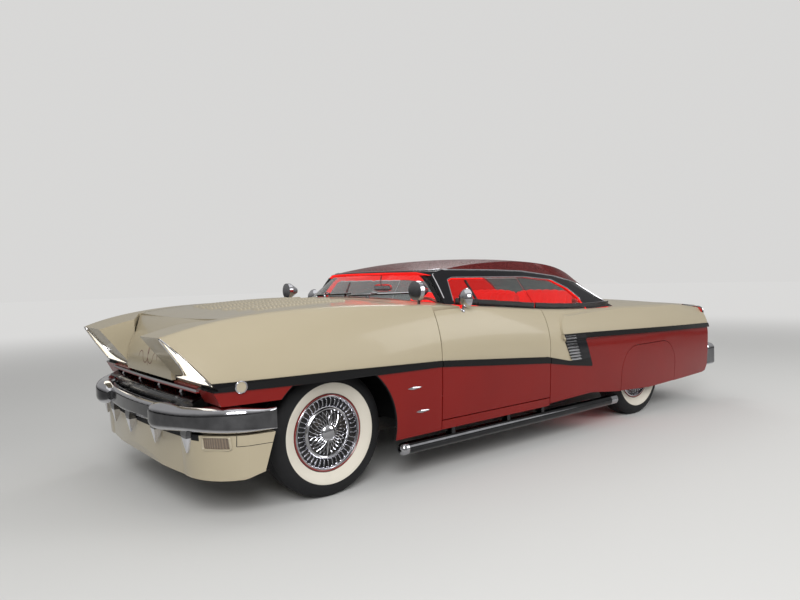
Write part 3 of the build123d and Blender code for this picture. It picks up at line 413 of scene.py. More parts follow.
def body_paint(name, settings, linings=(), glow=0.0):
    """Two-tone enamel under clear coat, with mouldings darkened as a painted reflection, and linings that
    glow as painted light when glow is given. Linings are (mask, colour, pleated).
    """
    graph = Graph(name)
    red, trim, panel, slats = side_zones(graph)
    cream = graph.tone(graph.noise(1.7, 2.0), settings.cream, 0.93)
    colour = graph.mix(red, cream, graph.tone(graph.noise(2.3, 2.0), settings.red, 0.72))
    # Painted reflection: the mouldings' chrome is darkened to 3 % of the bright colour.
    colour = graph.mix(trim, colour, shade(settings.trim, 0.03))
    colour = graph.mix(panel, colour, shade(settings.dark))
    colour = graph.mix(slats, colour, shade(settings.trim))
    bright = (trim - panel) * 0.5 + slats
    rough = 0.30 + graph.noise(6.0) * 0.08 - trim * 0.20
    coat = 1.0 - trim
    fine = graph.noise(950.0, 2.0)
    lit = NO_LIGHT
    for mask, tint, pleated in linings:
        inside = mask(graph)
        # Painted glow: pleated linings emit their own colour, though they are no lamp.
        if pleated and glow:
            # The lining stays unlit beside the door's rear gap and at the sill of the windows
            away = (1.0 - graph.x.within(-0.04, 0.05)) * (graph.z < 0.93)
            lit = graph.mix(inside * away, lit, shade(tint))
        colour = graph.mix(inside, colour, graph.tone(graph.noise(25.0, 4.0), tint, 0.6))
        rough = rough + inside * 0.25
        coat = coat * (1.0 - inside)
        bright = bright * (1.0 - inside)
        if pleated:
            pleats = graph.x.wave(0.05) * 0.5 + 0.5
            fine = fine + inside * graph.z.within(0.42, 0.86) * pleats * 9.0
        else:
            fine = fine + inside * graph.noise(120.0, 4.0) * 4.0
    return graph.surface(
        colour, rough, (fine, 0.0004, 0.25), metal=bright, specular=0.2,
        coat=coat * 0.4, coat_ior=1.3, coat_rough=0.05, lit=lit, power=glow,
    )


def hood_paint(name, settings):
    """Upper paint with hand-drawn pinstripe scrolls on the nose."""
    graph = Graph(name)
    y, z = abs(graph.y), graph.z
    drawn = (y < 0.0026) * z.within(0.722, 0.862)
    for centre_y, centre_z, radius, y_range, z_range in SCROLLS:
        away = ((y - centre_y) ** 2.0 + (z - centre_z) ** 2.0).sqrt()
        drawn = drawn.high((abs(away - radius) < 0.0027) * y.within(*y_range) * z.within(*z_range))
    tone = graph.tone(graph.noise(1.7, 2.0), settings.cream, 0.93)
    colour = graph.mix(drawn * (graph.x > at(2060)), tone, (0.10, 0.012, 0.010, 1.0))
    return graph.surface(
        colour, 0.30 + graph.noise(6.0) * 0.08, (graph.noise(950.0, 2.0), 0.0003, 0.25),
        specular=0.25, coat=0.6, coat_ior=1.3, coat_rough=0.05,
    )


def valance_paint(name, settings):
    """Upper paint with a near-black patch behind the bumper's teeth as painted shade, and a split line at
    each end.
    """
    graph = Graph(name)
    y = abs(graph.y)
    # Painted shade: the closed panel behind the bumper's teeth is near black, its bump pushed in and its
    # coat taken off.
    shaded_slot = (graph.z > 0.424) * (y < 0.77) * (graph.x > at(2150))
    split = (abs(graph.x - at(2096)) < 0.0016) * (graph.z > 0.400)
    crease = (abs(graph.z - 0.400) < 0.0016) * graph.x.within(at(1909), at(2096))
    dark = shaded_slot.high(split.high(crease) * (y > 0.8))
    tone = graph.tone(graph.noise(1.7, 2.0), settings.cream, 0.93)
    return graph.surface(
        graph.mix(dark, tone, (0.008, 0.008, 0.009, 1.0)), 0.30 + dark * 0.4,
        (graph.noise(950.0, 2.0) - dark * 8.0, 0.0004, 0.3),
        specular=0.25, coat=(1.0 - dark) * 0.6, coat_ior=1.3, coat_rough=0.05,
    )


def grille_metal(name, settings):
    """Metal panel darkened as a painted reflection, with bright hooks and a bright lip bar lined in the
    lower colour.
    """
    graph = Graph(name)
    y = abs(graph.y)
    lip = graph.z > 0.6438
    red = lip * (graph.z < 0.6500)
    hooks = (abs(y - 0.165) < 0.0145).high(abs(y - 0.495) < 0.0145)
    # Painted reflection: the panel's metal is darkened to a tenth of the bright colour, and the hooks and
    # lip keep it.
    colour = graph.mix(hooks.high(lip - red), shade(settings.trim, 0.10), shade(settings.trim))
    colour = graph.mix(red, colour, shade(settings.red))
    rough = 0.10 + graph.noise(14.0, 4.0) * 0.08
    return graph.surface(colour, rough, graph.polish(), metal=1.0 - red * 0.8)


def roof_paint(name, settings):
    """Flaked roof paint above the drip line, dark frames below it, and cloth inside that glows as painted
    light.
    """
    graph = Graph(name)
    above = graph.z > graph.line(graph.x, metres(DRIP))
    reach = graph.nx * (graph.x - at(-400)) + graph.ny * graph.y + graph.nz * (graph.z - 0.60)
    inside = reach < 0.0
    outer = 1.0 - inside
    flake = graph.cells(430.0, "Color").ramp(0.55, 0.85)
    fine = graph.cells(1500.0, "Color").ramp(0.6, 0.9)
    paint = graph.tone(graph.noise(2.0), settings.roof, 0.55)
    paint = graph.mix(flake * 0.45 + fine * 0.25, paint, (0.42, 0.05, 0.045, 1.0))
    colour = graph.mix(above, shade(settings.dark), paint)
    # Painted glow: the cloth inside is dark red and emits the upholstery colour, though it is no lamp.
    return graph.surface(
        graph.mix(inside, colour, shade(settings.seat, 0.22)),
        0.26 + above * flake * 0.12 + inside * 0.6 - (1.0 - above) * outer * 0.1,
        (flake * above + graph.noise(800.0) * (0.2 + inside), 0.0005, 0.25),
        metal=outer * above * flake * 0.35, specular=0.12, coat=outer * 0.06, coat_ior=1.25,
        coat_rough=0.2, lit=graph.mix(inside, NO_LIGHT, shade(settings.seat)), power=2.4,
    )


def enamel(name, colour, roughness=0.3, coat=1.0):
    """One-colour paint with soft variation and orange peel."""
    graph = Graph(name)
    tone = graph.tone(graph.noise(2.4), colour, 0.8)
    relief = (graph.noise(900.0), 0.0003, 0.25)
    return graph.surface(tone, roughness + graph.noise(9.0) * 0.08, relief, coat=coat, coat_rough=0.05)


def plating_with_painted_reflection(graph, colour, upright):
    """Colour of plating with a painted reflection: deep on upright faces and bright on those that look up
    or down.
    """
    # Painted reflection: upright faces take a dark share of the colour and faces that look up or down a
    # bright one, standing in for a dark horizon and a bright sky mirrored in the metal.
    facing = abs(graph.nz + 0.08).ramp(0.18, 0.62)
    factor = facing * 0.85 + graph.noise(14.0, 4.0) * 0.15
    return graph.mix(factor, shade(colour, upright), shade(colour, 1.75))


def chrome(name, colour, roughness=0.06, upright=0.16):
    """Plated metal with faint haze and polishing marks, and a painted reflection in its colour."""
    graph = Graph(name)
    streak = graph.noise(60.0, 2.0, stretch=(1.0, 9.0, 9.0))
    rough = roughness + graph.noise(14.0, 4.0) * 0.05 + streak * 0.03
    # The colour carries a painted reflection, dark on upright faces and bright on level ones.
    return graph.surface(plating_with_painted_reflection(graph, colour, upright), rough, graph.polish(), metal=1.0)


def bumper_metal(name, settings, upright):
    """Chrome with a painted reflection and teeth paled all over as a painted highlight, and the brackets
    behind the bar left in dark paint.
    """
    graph = Graph(name)
    x, y = graph.x, abs(graph.y)
    hidden = (x < at(2268)) * y.within(0.344, 0.406)
    hidden = hidden.high(x.within(at(-2680), 0.0) * y.within(0.345, 0.405))
    # Painted highlight: the teeth take the pale colour on every face in place of the painted reflection.
    teeth = (graph.z < 0.4335) * (y < 0.78) * (x > at(2150))
    colour = graph.mix(teeth, plating_with_painted_reflection(graph, settings.trim, upright), shade(settings.trim, 1.8))
    rough = 0.07 + graph.noise(14.0, 4.0) * 0.05 + hidden * 0.4
    colour = graph.mix(hidden, colour, (0.02, 0.02, 0.022, 1.0))
    return graph.surface(colour, rough, graph.polish(), metal=1.0 - hidden * 0.7)


def pipe_metal(name, settings):
    """Chrome pipes darkened as a painted reflection, with bright tips, dark hangers above them and dark
    insides at their rear ends.
    """
    graph = Graph(name)
    y = abs(graph.y)
    haze = graph.noise(16.0, 4.0)
    hanger = (graph.z > 0.2405) * (y < 0.9)
    bore = ((graph.z - 0.202) ** 2.0 + (y - 0.915) ** 2.0).sqrt() < 0.0335
    dark = hanger.high((graph.x < at(-1020)) * bore)
    tip = (graph.x < at(-960)).high(graph.x > at(1060))
    # Painted reflection: the pipes' chrome is darkened to 7 % of the bright colour, with a little haze,
    # and the tips keep the full colour.
    tone = graph.mix((haze * 0.1).high(tip), shade(settings.trim, 0.07), shade(settings.trim))
    colour = graph.mix(dark, tone, (0.012, 0.011, 0.010, 1.0))
    rough = 0.08 + haze * 0.06 + dark * 0.6
    return graph.surface(colour, rough, (graph.noise(60.0), 0.0006, 0.15), metal=1.0 - dark)


def rubber(name, colour, roughness=0.65):
    """Rubber or bare black plastic with a fine grain and dust."""
    graph = Graph(name)
    dust = graph.noise(18.0, 5.0)
    pale = tuple(c * 1.5 + 0.002 for c in colour[:3]) + (1.0,)
    tone = graph.mix(dust.ramp(0.45, 0.9), shade(colour), pale)
    return graph.surface(tone, roughness + dust * 0.2, (graph.noise(420.0), 0.0006, 0.5), specular=0.3)


def whitewall(name, colour):
    """Clean white rubber with a faint moulded grain and scuffs."""
    graph = Graph(name)
    scuff = graph.noise(7.0, 5.0).ramp(0.55, 0.85)
    tone = graph.mix(scuff, shade(colour), shade(colour, 0.86))
    return graph.surface(tone, 0.5 + scuff * 0.15, (graph.noise(380.0), 0.0004, 0.3))


def worn_metal(name, colour, roughness=0.5, metallic=0.6):
    """Cast or painted chassis metal with grime."""
    graph = Graph(name)
    grime = graph.noise(11.0, 6.0, 0.62)
    tone = graph.mix(grime.ramp(0.42, 0.72), shade(colour), (0.045, 0.036, 0.028, 1.0))
    metal = metallic * (1.0 - grime.ramp(0.45, 0.7))
    relief = (graph.noise(160.0, 4.0), 0.0015, 0.45)
    return graph.surface(tone, roughness + grime * 0.3, relief, metal=metal)


def leather(name, colour, glow):
    """Vinyl hide with grain and a soft bloom, glowing with its own colour as painted light though it is no
    lamp.
    """
    graph = Graph(name)
    wear = graph.noise(7.0)
    tone = graph.tone(wear, colour, 0.66)
    grain = graph.cells(310.0, feature="DISTANCE_TO_EDGE") + graph.noise(700.0) * 0.2
    # Painted glow: the hide emits its own colour at the given strength.
    return graph.surface(tone, 0.42 + wear * 0.14, (grain, 0.0008, 0.5), lit=tone, power=glow)


def glass(name, tint):
    """Clear laminated glass with a faint tint and dust."""
    graph = Graph(name)
    rough = 0.01 + graph.noise(30.0, 4.0).ramp(0.55, 0.9) * 0.03
    return graph.surface(shade(tint), rough, (graph.noise(3.0, 2.0), 0.0006, 0.1), clear=1.0, ior=1.2)


def lens(name, colour, glow, rib):
    """Ribbed lamp glass, lit from behind."""
    graph = Graph(name)
    rings = graph.y.wave(rib)
    tone = graph.tone(rings * 0.5 + 0.5, colour, 0.55)
    relief = (rings + graph.z.wave(rib * 2.2) * 0.4, 0.002, 0.6)
    return graph.surface(tone, 0.12, relief, coat=1.0, lit=tone, power=glow)


def dial_face(name):
    """Gauge face with a ring of ticks about each of the four dials."""
    graph = Graph(name)
    total = 0.0
    for y, radius in DIALS:
        across, up = graph.y - y, graph.z - DIAL_HEIGHT
        away = (across ** 2.0 + up ** 2.0).sqrt()
        tick = ((graph.maths("ARCTAN2", up, across) * (12 / math.pi)) % 1.0) < 0.16
        total = (away.within(radius * 0.72, radius * 0.86) * tick).high(total)
    colour = graph.mix(total, (0.02, 0.02, 0.022, 1.0), (0.7, 0.66, 0.55, 1.0))
    return graph.surface(colour, 0.35, (graph.noise(300.0), 0.0003, 0.2), coat=1.0)


def carpet_and_underseal(name, colour):
    """Cut pile on the upward faces and underseal below."""
    graph = Graph(name)
    pile = graph.noise(520.0, 4.0, 0.7)
    top = (graph.nz > 0.5) * (graph.z < 0.4)
    tone = graph.mix(top, (0.014, 0.014, 0.015, 1.0), graph.tone(pile, colour, 0.4))
    relief = (pile + graph.noise(60.0) * 0.6, 0.004, 0.6)
    return graph.surface(tone, 0.95 - graph.noise(20.0) * 0.1, relief)


def fins(name):
    """Radiator core with fins and tubes."""
    graph = Graph(name)
    tube = graph.y.wave(0.012)
    tone = graph.mix(tube * 0.5 + 0.5, (0.008, 0.008, 0.008, 1.0), (0.03, 0.03, 0.03, 1.0))
    relief = (graph.z.wave(0.004) + tube, 0.002, 0.7)
    return graph.surface(tone, 0.6 + graph.noise(12.0) * 0.2, relief, metal=0.4)


def piece(name, bm, materials, body="body", angle=35.0):
    """A mesh piece that rides on a body, smooth but for edges sharper than an angle."""
    bmesh.ops.recalc_face_normals(bm, faces=bm.faces)
    mesh = bpy.data.meshes.new(name)
    bm.to_mesh(mesh)
    bm.free()
    made = bpy.data.objects.new(name, mesh)
    bpy.context.scene.collection.objects.link(made)
    for material in materials:
        mesh.materials.append(material)
    mesh.shade_smooth()
    mesh.set_sharp_from_angle(angle=math.radians(angle))
    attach(made, body)
    return made


def loft(bm, rings, indices=0, closed=False, ends=True):
    """A skin over rings of points, with one material index or one for each band."""
    rows = [[bm.verts.new(point) for point in ring] for ring in rings]
    if isinstance(indices, int):
        indices = [indices] * len(rows)
    for first, second, index in zip(rows, rows[1:] + rows[:closed], indices):
        for k in range(len(first)):
            after = (k + 1) % len(first)
            face = bm.faces.new((first[k], first[after], second[after], second[k]))
            face.material_index = index
    if ends and not closed:
        bm.faces.new(rows[0]).material_index = indices[0]
        bm.faces.new(rows[-1]).material_index = indices[-1]
    return rows


def toward(across, other, angle):
    """The way at an angle between two ways at right angles."""
    return across * math.cos(angle) + other * math.sin(angle)


def sweep(bm, points, section, up, closed=False, index=0):
    """A section of (sideways, upwards) offsets carried along points, with flat ends.

    The upwards way is one vector, or one for each point.
    """
    points = [Vector(p) for p in points]
    ups = up if isinstance(up, list) else [up] * len(points)
    rings = []
    for k, point in enumerate(points):
        before = points[k - 1] if k or closed else point
        after = points[(k + 1) % len(points)] if closed or k + 1 < len(points) else point
        along = (after - before).normalized()
        side = along.cross(ups[k]).normalized()
        top = side.cross(along)
        rings.append([point + side * a + top * b for a, b in section])
    loft(bm, rings, index, closed)


def round_section(radius, sides=8, wide=1.0):
    """Offsets of a round or oval section."""
    return [(radius * wide * math.cos(t), radius * math.sin(t)) for t in turns(sides)]


def lathe(bm, profile, place, axis, segments, closed=False):
    """A turned form about an axis through a place, from rows in millimetres."""
    axis = Vector(axis).normalized()
    across = axis.orthogonal().normalized()
    other = axis.cross(across)
    rings = []
    for along, radius, *_ in profile:
        middle = place + axis * (along / 1000)
        rings.append([middle + toward(across, other, t) * (radius / 1000) for t in turns(segments)])
    loft(bm, rings, [row[2] if len(row) > 2 else 0 for row in profile], closed)


def bar(bm, low, high, index=0):
    """A plain bar between two corners."""
    (x0, y0, z0), (x1, y1, z1) = low, high
    corners = [bm.verts.new((x, y, z)) for x in (x0, x1) for y in (y0, y1) for z in (z0, z1)]
    for face in ((0, 1, 3, 2), (4, 6, 7, 5), (0, 4, 5, 1), (2, 3, 7, 6), (0, 2, 6, 4), (1, 5, 7, 3)):
        bm.faces.new([corners[k] for k in face]).material_index = index


def tree_of(*names):
    """Ray target made of CAD nodes."""
    corners = []
    faces = []
    for name in names:
        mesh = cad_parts[name].data
        start = len(corners)
        corners.extend(v.co.copy() for v in mesh.vertices)
        faces.extend([start + i for i in p.vertices] for p in mesh.polygons)
    return BVHTree.FromPolygons(corners, faces)


def cast(tree, start, way):
    """The first point of a tree along a ray, and the surface's normal towards the ray."""
    way = Vector(way).normalized()
    point, normal, _face, _far = tree.ray_cast(Vector(start), way)
    if point is None:
        raise RuntimeError("a ray from %s met nothing" % (tuple(start),))
    return point, normal if normal.dot(way) < 0 else -normal


def from_side(tree, x, z, side):
    """The outer surface at a place of the side view."""
    return cast(tree, (x, side * 2.0, z), (0, -side, 0))


def from_front(tree, y, z):
    """The outer surface at a place of the front view."""
    return cast(tree, (4.0, y, z), (-1, 0, 0))


def from_above(tree, x, y):
    """The upper surface at a place of the plan."""
    return cast(tree, (x, y, 3.0), (0, 0, -1))


def lowest(tree, x, side):
    """The lowest height at which a ray from the side meets a tree."""
    for step in range(60):
        z = 0.915 + step * 0.003
        if tree.ray_cast(Vector((x, side * 2.0, z)), Vector((0, -side, 0)), 1.5)[0] is not None:
            return z
    raise RuntimeError("nothing stands over x = %g" % x)


def strip_section(wide, proud):
    """Half-round section of a trim strip that is sunk a little into its surface."""
    half, sunk = wide / 2, 0.003
    crown = [(-half, proud * 0.4), (-half * 0.55, proud), (half * 0.55, proud), (half, proud * 0.4)]
    return [(-half, -sunk)] + crown + [(half, -sunk)]


def flat_section(half, low, high):
    """Four-cornered section of a band."""
    return [(-half, low), (-half, high), (half, high), (half, low)]


def lay_strip(bm, hits, section, closed=False, index=0):
    """A strip along (point, normal) places on a surface."""
    sweep(bm, [p for p, _ in hits], section, [n for _, n in hits], closed, index)


def side_strip(bm, tree, side, points, spacing, section):
    """A strip along a broken line of the side view, in millimetres."""
    line = between([(x, 0, z) for x, z in metres(points)], spacing)
    lay_strip(bm, [from_side(tree, p.x, p.z, side) for p in line], section)


def between(points, spacing):
    """Points added along a broken line so that none is further apart than spacing."""
    made = []
    for a, b in zip(points, points[1:]):
        a, b = Vector(a), Vector(b)
        count = max(1, int((b - a).length / spacing))
        made.extend(a.lerp(b, k / count) for k in range(count))
    return made + [Vector(points[-1])]


def rounded_loop(wide, tall, radius, count):
    """Closed outline of a rounded rectangle about its middle."""
    made = []
    for cx, cy, start in ((1, 1, 0), (-1, 1, 1), (-1, -1, 2), (1, -1, 3)):
        for k in range(count + 1):
            t = math.pi / 2 * (start + k / count)
            y = cx * (wide / 2 - radius) + radius * math.cos(t)
            made.append((y, cy * (tall / 2 - radius) + radius * math.sin(t)))
    return made


def round_corners(points, times):
    """A closed outline with its corners cut back again and again."""
    for _ in range(times):
        made = []
        for a, b in zip(points, points[1:] + points[:1]):
            made.extend(tuple(p * s + q * (1 - s) for p, q in zip(a, b)) for s in (0.75, 0.25))
        points = made
    return points


def rib(bm, middle, way, up, start, end, wide_start, wide_end, rise):
    """A tapering rib with a ridge along its top, from one distance to another."""
    aside = up.cross(way)
    rings = []
    for t, narrow, flat in ((0.0, 0.6, 0.35), (0.12, 1.0, 1.0), (0.88, 1.0, 1.0), (1.0, 0.6, 0.35)):
        base = middle + way * (start + (end - start) * t)
        half = (wide_start + (wide_end - wide_start) * t) / 2 * narrow
        top = rise * flat
        offsets = ((1.0, 0.0), (1.0, 0.5), (0.25, 1.0))
        outline = [(-half * a, top * b) for a, b in offsets]
        outline += [(half * a, top * b) for a, b in offsets[::-1]]
        rings.append([base + aside * a + up * b for a, b in outline])
    loft(bm, rings)


def upholstered(bm, outline, low, high, channels, crown, groove):
    """A stuffed pad: a side outline carried across, crowned, rounded at its ends, sewn in channels."""
    ring = [Vector((x, 0, z)) for x, z in round_corners(outline, 3)]
    count = len(ring)
    middle = sum(ring, Vector()) / count
    outs = []
    for k in range(count):
        along = ring[(k + 1) % count] - ring[k - 1]
        out = Vector((along.z, 0, -along.x)).normalized()
        outs.append(out if out.dot(ring[k] - middle) > 0 else -out)
    padded = [max(0.0, out.z * 0.9 + out.x * 0.8) ** 0.5 for out in outs]
    bead = 0.030
    ends = [(bead * (1 - math.cos(t)), bead * (1 - math.sin(t))) for t in turns(16)[:4]]
    stations = [(low + away, inset, 0.0) for away, inset in ends]
    for u in steps(0.0, 1.0, channels * 8):
        seam = 1 - abs(math.sin(math.pi * channels * u)) ** 0.5
        lift = crown * (1 - (2 * u - 1) ** 4) - groove * seam
        stations.append((low + bead + (high - low - 2 * bead) * u, 0.0, lift))
    stations.extend((high - away, inset, 0.0) for away, inset in reversed(ends))
    rings = []
    for y, inset, lift in stations:
        parts = zip(ring, outs, padded)
        aside = LEFTWARD * y
        rings.append([point + out * (lift * share - inset) + aside for point, out, share in parts])
    rows = loft(bm, rings, ends=False)
    for end in (rows[0], rows[-1]):
        centre = bm.verts.new(sum((v.co for v in end), Vector()) / count)
        for k in range(count):
            bm.faces.new((end[k], end[(k + 1) % count], centre))


def camera_matrix(place, yaw, pitch, roll):
    """World matrix of a camera from its place and its angles in degrees."""
    a, b, c = (math.radians(v) for v in (yaw, pitch, roll))
    ahead = Vector((math.cos(a) * math.cos(b), math.sin(a) * math.cos(b), math.sin(b)))
    right = ahead.cross(UPWARD).normalized()
    up = right.cross(ahead)
    made = Matrix((toward(right, up, c), toward(up, -right, c), -ahead)).transposed().to_4x4()
    made.translation = place
    return made


class HARDTOP_OT_paint(bpy.types.Operator):
    """Two-tone body paint, roof paint and linings"""

    bl_idname = "hardtop.paint"
    bl_label = "Body and roof paint"

    def execute(self, context):
        settings = context.scene.hardtop
        black = (0.012, 0.012, 0.013)
        hide = (shade(settings.seat, 0.8), True)
        rear = ((cabin_side, *hide), (wheel_wells, black, False), (luggage, (0.03,) * 3, False))
        wall = ((firewall_faces, (0.10, 0.006, 0.006), False), (firewall_front, settings.dark, False))
        arches = ((inward, black, False), (arch_lips, black, False))
        # Door and rear linings get a painted glow of 2.0.
        for name, linings, glow, covered in (
            ("door_paint", ((inward, *hide),), 2.0, ("door_left", "door_right")),
            ("fender_paint", arches, 0.0, ("fender_left", "fender_right")),
            ("rear_paint", rear, 2.0, ("body_rear",)),
            ("lid_paint", (), 0.0, ("trunk_lid",)),
            ("cowl_paint", wall, 0.0, ("cowl",)),
            ("lower_paint", (), 0.0, ("rockers", "fender_skirts")),
        ):
            give(body_paint(name, settings, linings, glow), *covered)
        give(hood_paint("hood_paint", settings), "hood")
        give(valance_paint("valance_paint", settings), "front_valance")
        give(roof_paint("roof_paint", settings), "roof")
        return {"FINISHED"}


class HARDTOP_OT_glass(bpy.types.Operator):
    """Window glass"""

    bl_idname = "hardtop.glass"
    bl_label = "Glass"

    def execute(self, context):
        give(glass("screen_glass", (0.62, 0.64, 0.64)), "windscreen")
        tinted = glass("window_glass", (0.36, 0.38, 0.38))
        give(tinted, "door_glass_left", "door_glass_right", "rear_windows")
        return {"FINISHED"}


class HARDTOP_OT_brightwork(bpy.types.Operator):
    """Bumpers, grille, pipes and the trim strips round the windows"""

    bl_idname = "hardtop.brightwork"
    bl_label = "Brightwork"

    def execute(self, context):
        settings = context.scene.hardtop
        give(bumper_metal("bumper_chrome", settings, 0.10), "front_bumper")
        give(bumper_metal("rear_bumper_chrome", settings, 0.35), "rear_bumper")
        give(pipe_metal("pipe_chrome", settings), "side_pipes")
        give(chrome("lamp_shell_chrome", settings.trim, 0.06, 0.8), "spotlamps")
        give(grille_metal("grille_metal", settings), "grille")
        self.splash_pan()
        bright = chrome("trim_chrome", settings.trim, 0.08, 0.7)
        black = enamel("sill_band", (0.006, 0.006, 0.007), 0.25, 0.5)
        house = tree_of("roof", "windscreen", "rear_windows", "door_glass_left", "door_glass_right")
        for side, word in SIDES:
            self.roof_trim(bright, black, house, side, word)
        for side, word in SIDES:
            self.window_trim(bright, black, house, side, word)
        self.screen_frames(bright, house)
        self.tail_trim(bright)
        return {"FINISHED"}

    def splash_pan(self):
        """Dark pan that closes the space between the grille panel and the bumper bar."""
        bm = bmesh.new()
        rings = []
        for y in steps(-0.66, 0.66, 24):
            edge = at(2222) + max(0.046 * (1 - (y / 0.56) ** 2), -0.02) * 0.45
            rings.append([(edge + x, y, z) for x, z in PAN])
        loft(bm, rings)
        black = enamel("pan_black", (0.010, 0.010, 0.011), 0.2, 0.6)
        piece("splash_pan", bm, [black])

    def roof_trim(self, bright, black, house, side, word):
        """Roof mouldings and the bands along the window sills."""
        bm = bmesh.new()
        side_strip(bm, house, side, DRIP[1:-1], 0.03, strip_section(0.009, 0.006))
        side_strip(bm, house, side, PILLAR_EDGE, 0.02, strip_section(0.020, 0.006))
        piece("roof_trim_" + word, bm, [bright])
        for name, start, end, body in (
            ("sill_door_", 505, -205, "door_" + word),
            ("sill_quarter_", -222, -1180, "body"),
        ):
            bm = bmesh.new()
            band, cap = [], []
            for station in steps(start, end, int((start - end) / 40)):
                x = at(station)
                point, normal = from_side(house, x, lowest(house, x, side) + 0.024, side)
                outward = Vector((normal.x, normal.y, 0)).normalized()
                band.append((point + outward * 0.001 - UPWARD * 0.006, outward))
                cap.append((point + outward * 0.007 + UPWARD * 0.015, outward))
            lay_strip(bm, band, [(-0.021, -0.002), (-0.021, 0.009), (0.021, 0.005), (0.021, -0.002)])
            lay_strip(bm, cap, strip_section(0.006, 0.004), index=1)
            piece(name + word, bm, [black, bright], body)

    def window_trim(self, bright, black, house, side, word):
        """Side window's frame, vent window's post, and a seal behind the door's rear gap."""
        bm = bmesh.new()
        side_strip(bm, house, side, WINDOW, 0.03, strip_section(0.007, 0.005))
        piece("side_window_frame_" + word, bm, [bright])
        bm = bmesh.new()
        side_strip(bm, tree_of("door_glass_" + word), side, VENT_POST, 0.02, strip_section(0.016, 0.008))
        piece("vent_post_" + word, bm, [black], "door_" + word)
        bm = bmesh.new()
        for back, fore, outer in ((-236, -219, 0.8255), (-219, -198, 0.820)):
            near, far = sorted((side * 0.811, side * outer))
            bar(bm, (at(back), near, 0.334), (at(fore), far, 0.950))
        piece("door_seal_" + word, bm, [black])

    def screen_frames(self, bright, house):
        """Thin frame round the windscreen, and one round the back light."""
        roof = tree_of("roof")
        heights = (1.045, 1.08, 1.12, 1.16, 1.196)
        rise = [from_side(roof, at(594 + (1.040 - z) * 218), z, 1) for z in heights]
        header = [from_front(roof, y, 1.228) for y in steps(0.60, -0.60, 24)]
        mirror = Vector((1, -1, 1))
        fall = [(point * mirror, normal * mirror) for point, normal in reversed(rise)]
        bm = bmesh.new()
        lay_strip(bm, rise + header + fall, strip_section(0.009, 0.006))
        piece("windscreen_frame", bm, [bright])
        bm = bmesh.new()
        loop = between([(at(x), y / 1000.0, 0) for x, y in BACK_LIGHT], 0.04)[:-1]
        hits = [from_above(house, p.x, p.y) for p in loop]
        lay_strip(bm, hits, strip_section(0.010, 0.006), closed=True)
        piece("back_light_frame", bm, [bright])

    def tail_trim(self, bright):
        """Strip across the tail, lid lock, deck spears and a blank plate."""
        tail = tree_of("trunk_lid", "body_rear")
        deck = tree_of("body_rear")
        for name, low, high, body in (
            ("tail_strip_lid", -0.630, 0.630, "trunk_lid"),
            ("tail_strip_left", 0.650, 0.860, "body"),
            ("tail_strip_right", -0.860, -0.650, "body"),
        ):
            bm = bmesh.new()
            row = steps(low, high, max(4, int((high - low) / 0.06)))
            hits = [cast(tail, (-4.0, y, 0.678), AHEAD) for y in row]
            lay_strip(bm, hits, strip_section(0.020, 0.007))
            piece(name, bm, [bright], body)
        bm = bmesh.new()
        lathe(bm, LID_LOCK, cast(tail, (-4.0, 0.0, 0.735), AHEAD)[0], -AHEAD, 24)
        piece("lid_lock", bm, [bright], "trunk_lid")
        for side, word in SIDES:
            bm = bmesh.new()
            hits = [from_above(deck, at(x), side * 0.800) for x in (-2590, -2540, -2470, -2400, -2330)]
            lay_strip(bm, hits, strip_section(0.014, 0.008))
            piece("deck_spear_" + word, bm, [bright])
        bm = bmesh.new()
        x = cast(deck, (-4.0, 0.0, 0.560), AHEAD)[0].x
        bar(bm, (x - 0.008, -0.152, 0.488), (x + 0.004, 0.152, 0.642))
        bar(bm, (x - 0.010, -0.143, 0.497), (x - 0.0078, 0.143, 0.633), 1)
        made = piece("plate_holder", bm, [bright, enamel("plate_blank", (0.50, 0.49, 0.44), 0.45, 0.3)])
        bevel = made.modifiers.new("edges", "BEVEL")
        bevel.width = 0.002
        bevel.segments = 2


class HARDTOP_OT_ornaments(bpy.types.Operator):
    """Bare roundels and darts on the front fenders"""

    bl_idname = "hardtop.ornaments"
    bl_label = "Fender ornaments"

    def execute(self, context):
        settings = context.scene.hardtop
        bright = chrome("ornament_chrome", settings.trim, 0.08, 0.9)
        colour = enamel("ornament_enamel", settings.cream, 0.2)
        panels = tree_of("fender_left", "fender_right")
        for side, word in SIDES:
            bm = bmesh.new()
            lathe(bm, ROUNDEL, *from_side(panels, at(2068), 0.684, side), 40)
            piece("roundel_" + word, bm, [bright, colour])
            for number, station, height in ((1, 1016, 0.550), (2, 952, 0.408)):
                bm = bmesh.new()
                rings = []
                for t in steps(0.0, 1.0, 16):
                    nose = math.sin(math.pi * min(1.0, t * 2.6) / 2)
                    wide = 0.0085 * nose * (1 - max(0.0, t - 0.38) / 0.62) ** 0.7 + 0.0006
                    place, out = from_side(panels, at(station + 52 - 104 * t), height, side)
                    up = out.cross(AHEAD).normalized()
                    base = place + out * 0.001
                    rings.append([base + toward(up, out * 0.8, angle) * wide for angle in turns(10)])
                loft(bm, rings)
                piece("dart_%s_%d" % (word, number), bm, [bright])
        return {"FINISHED"}


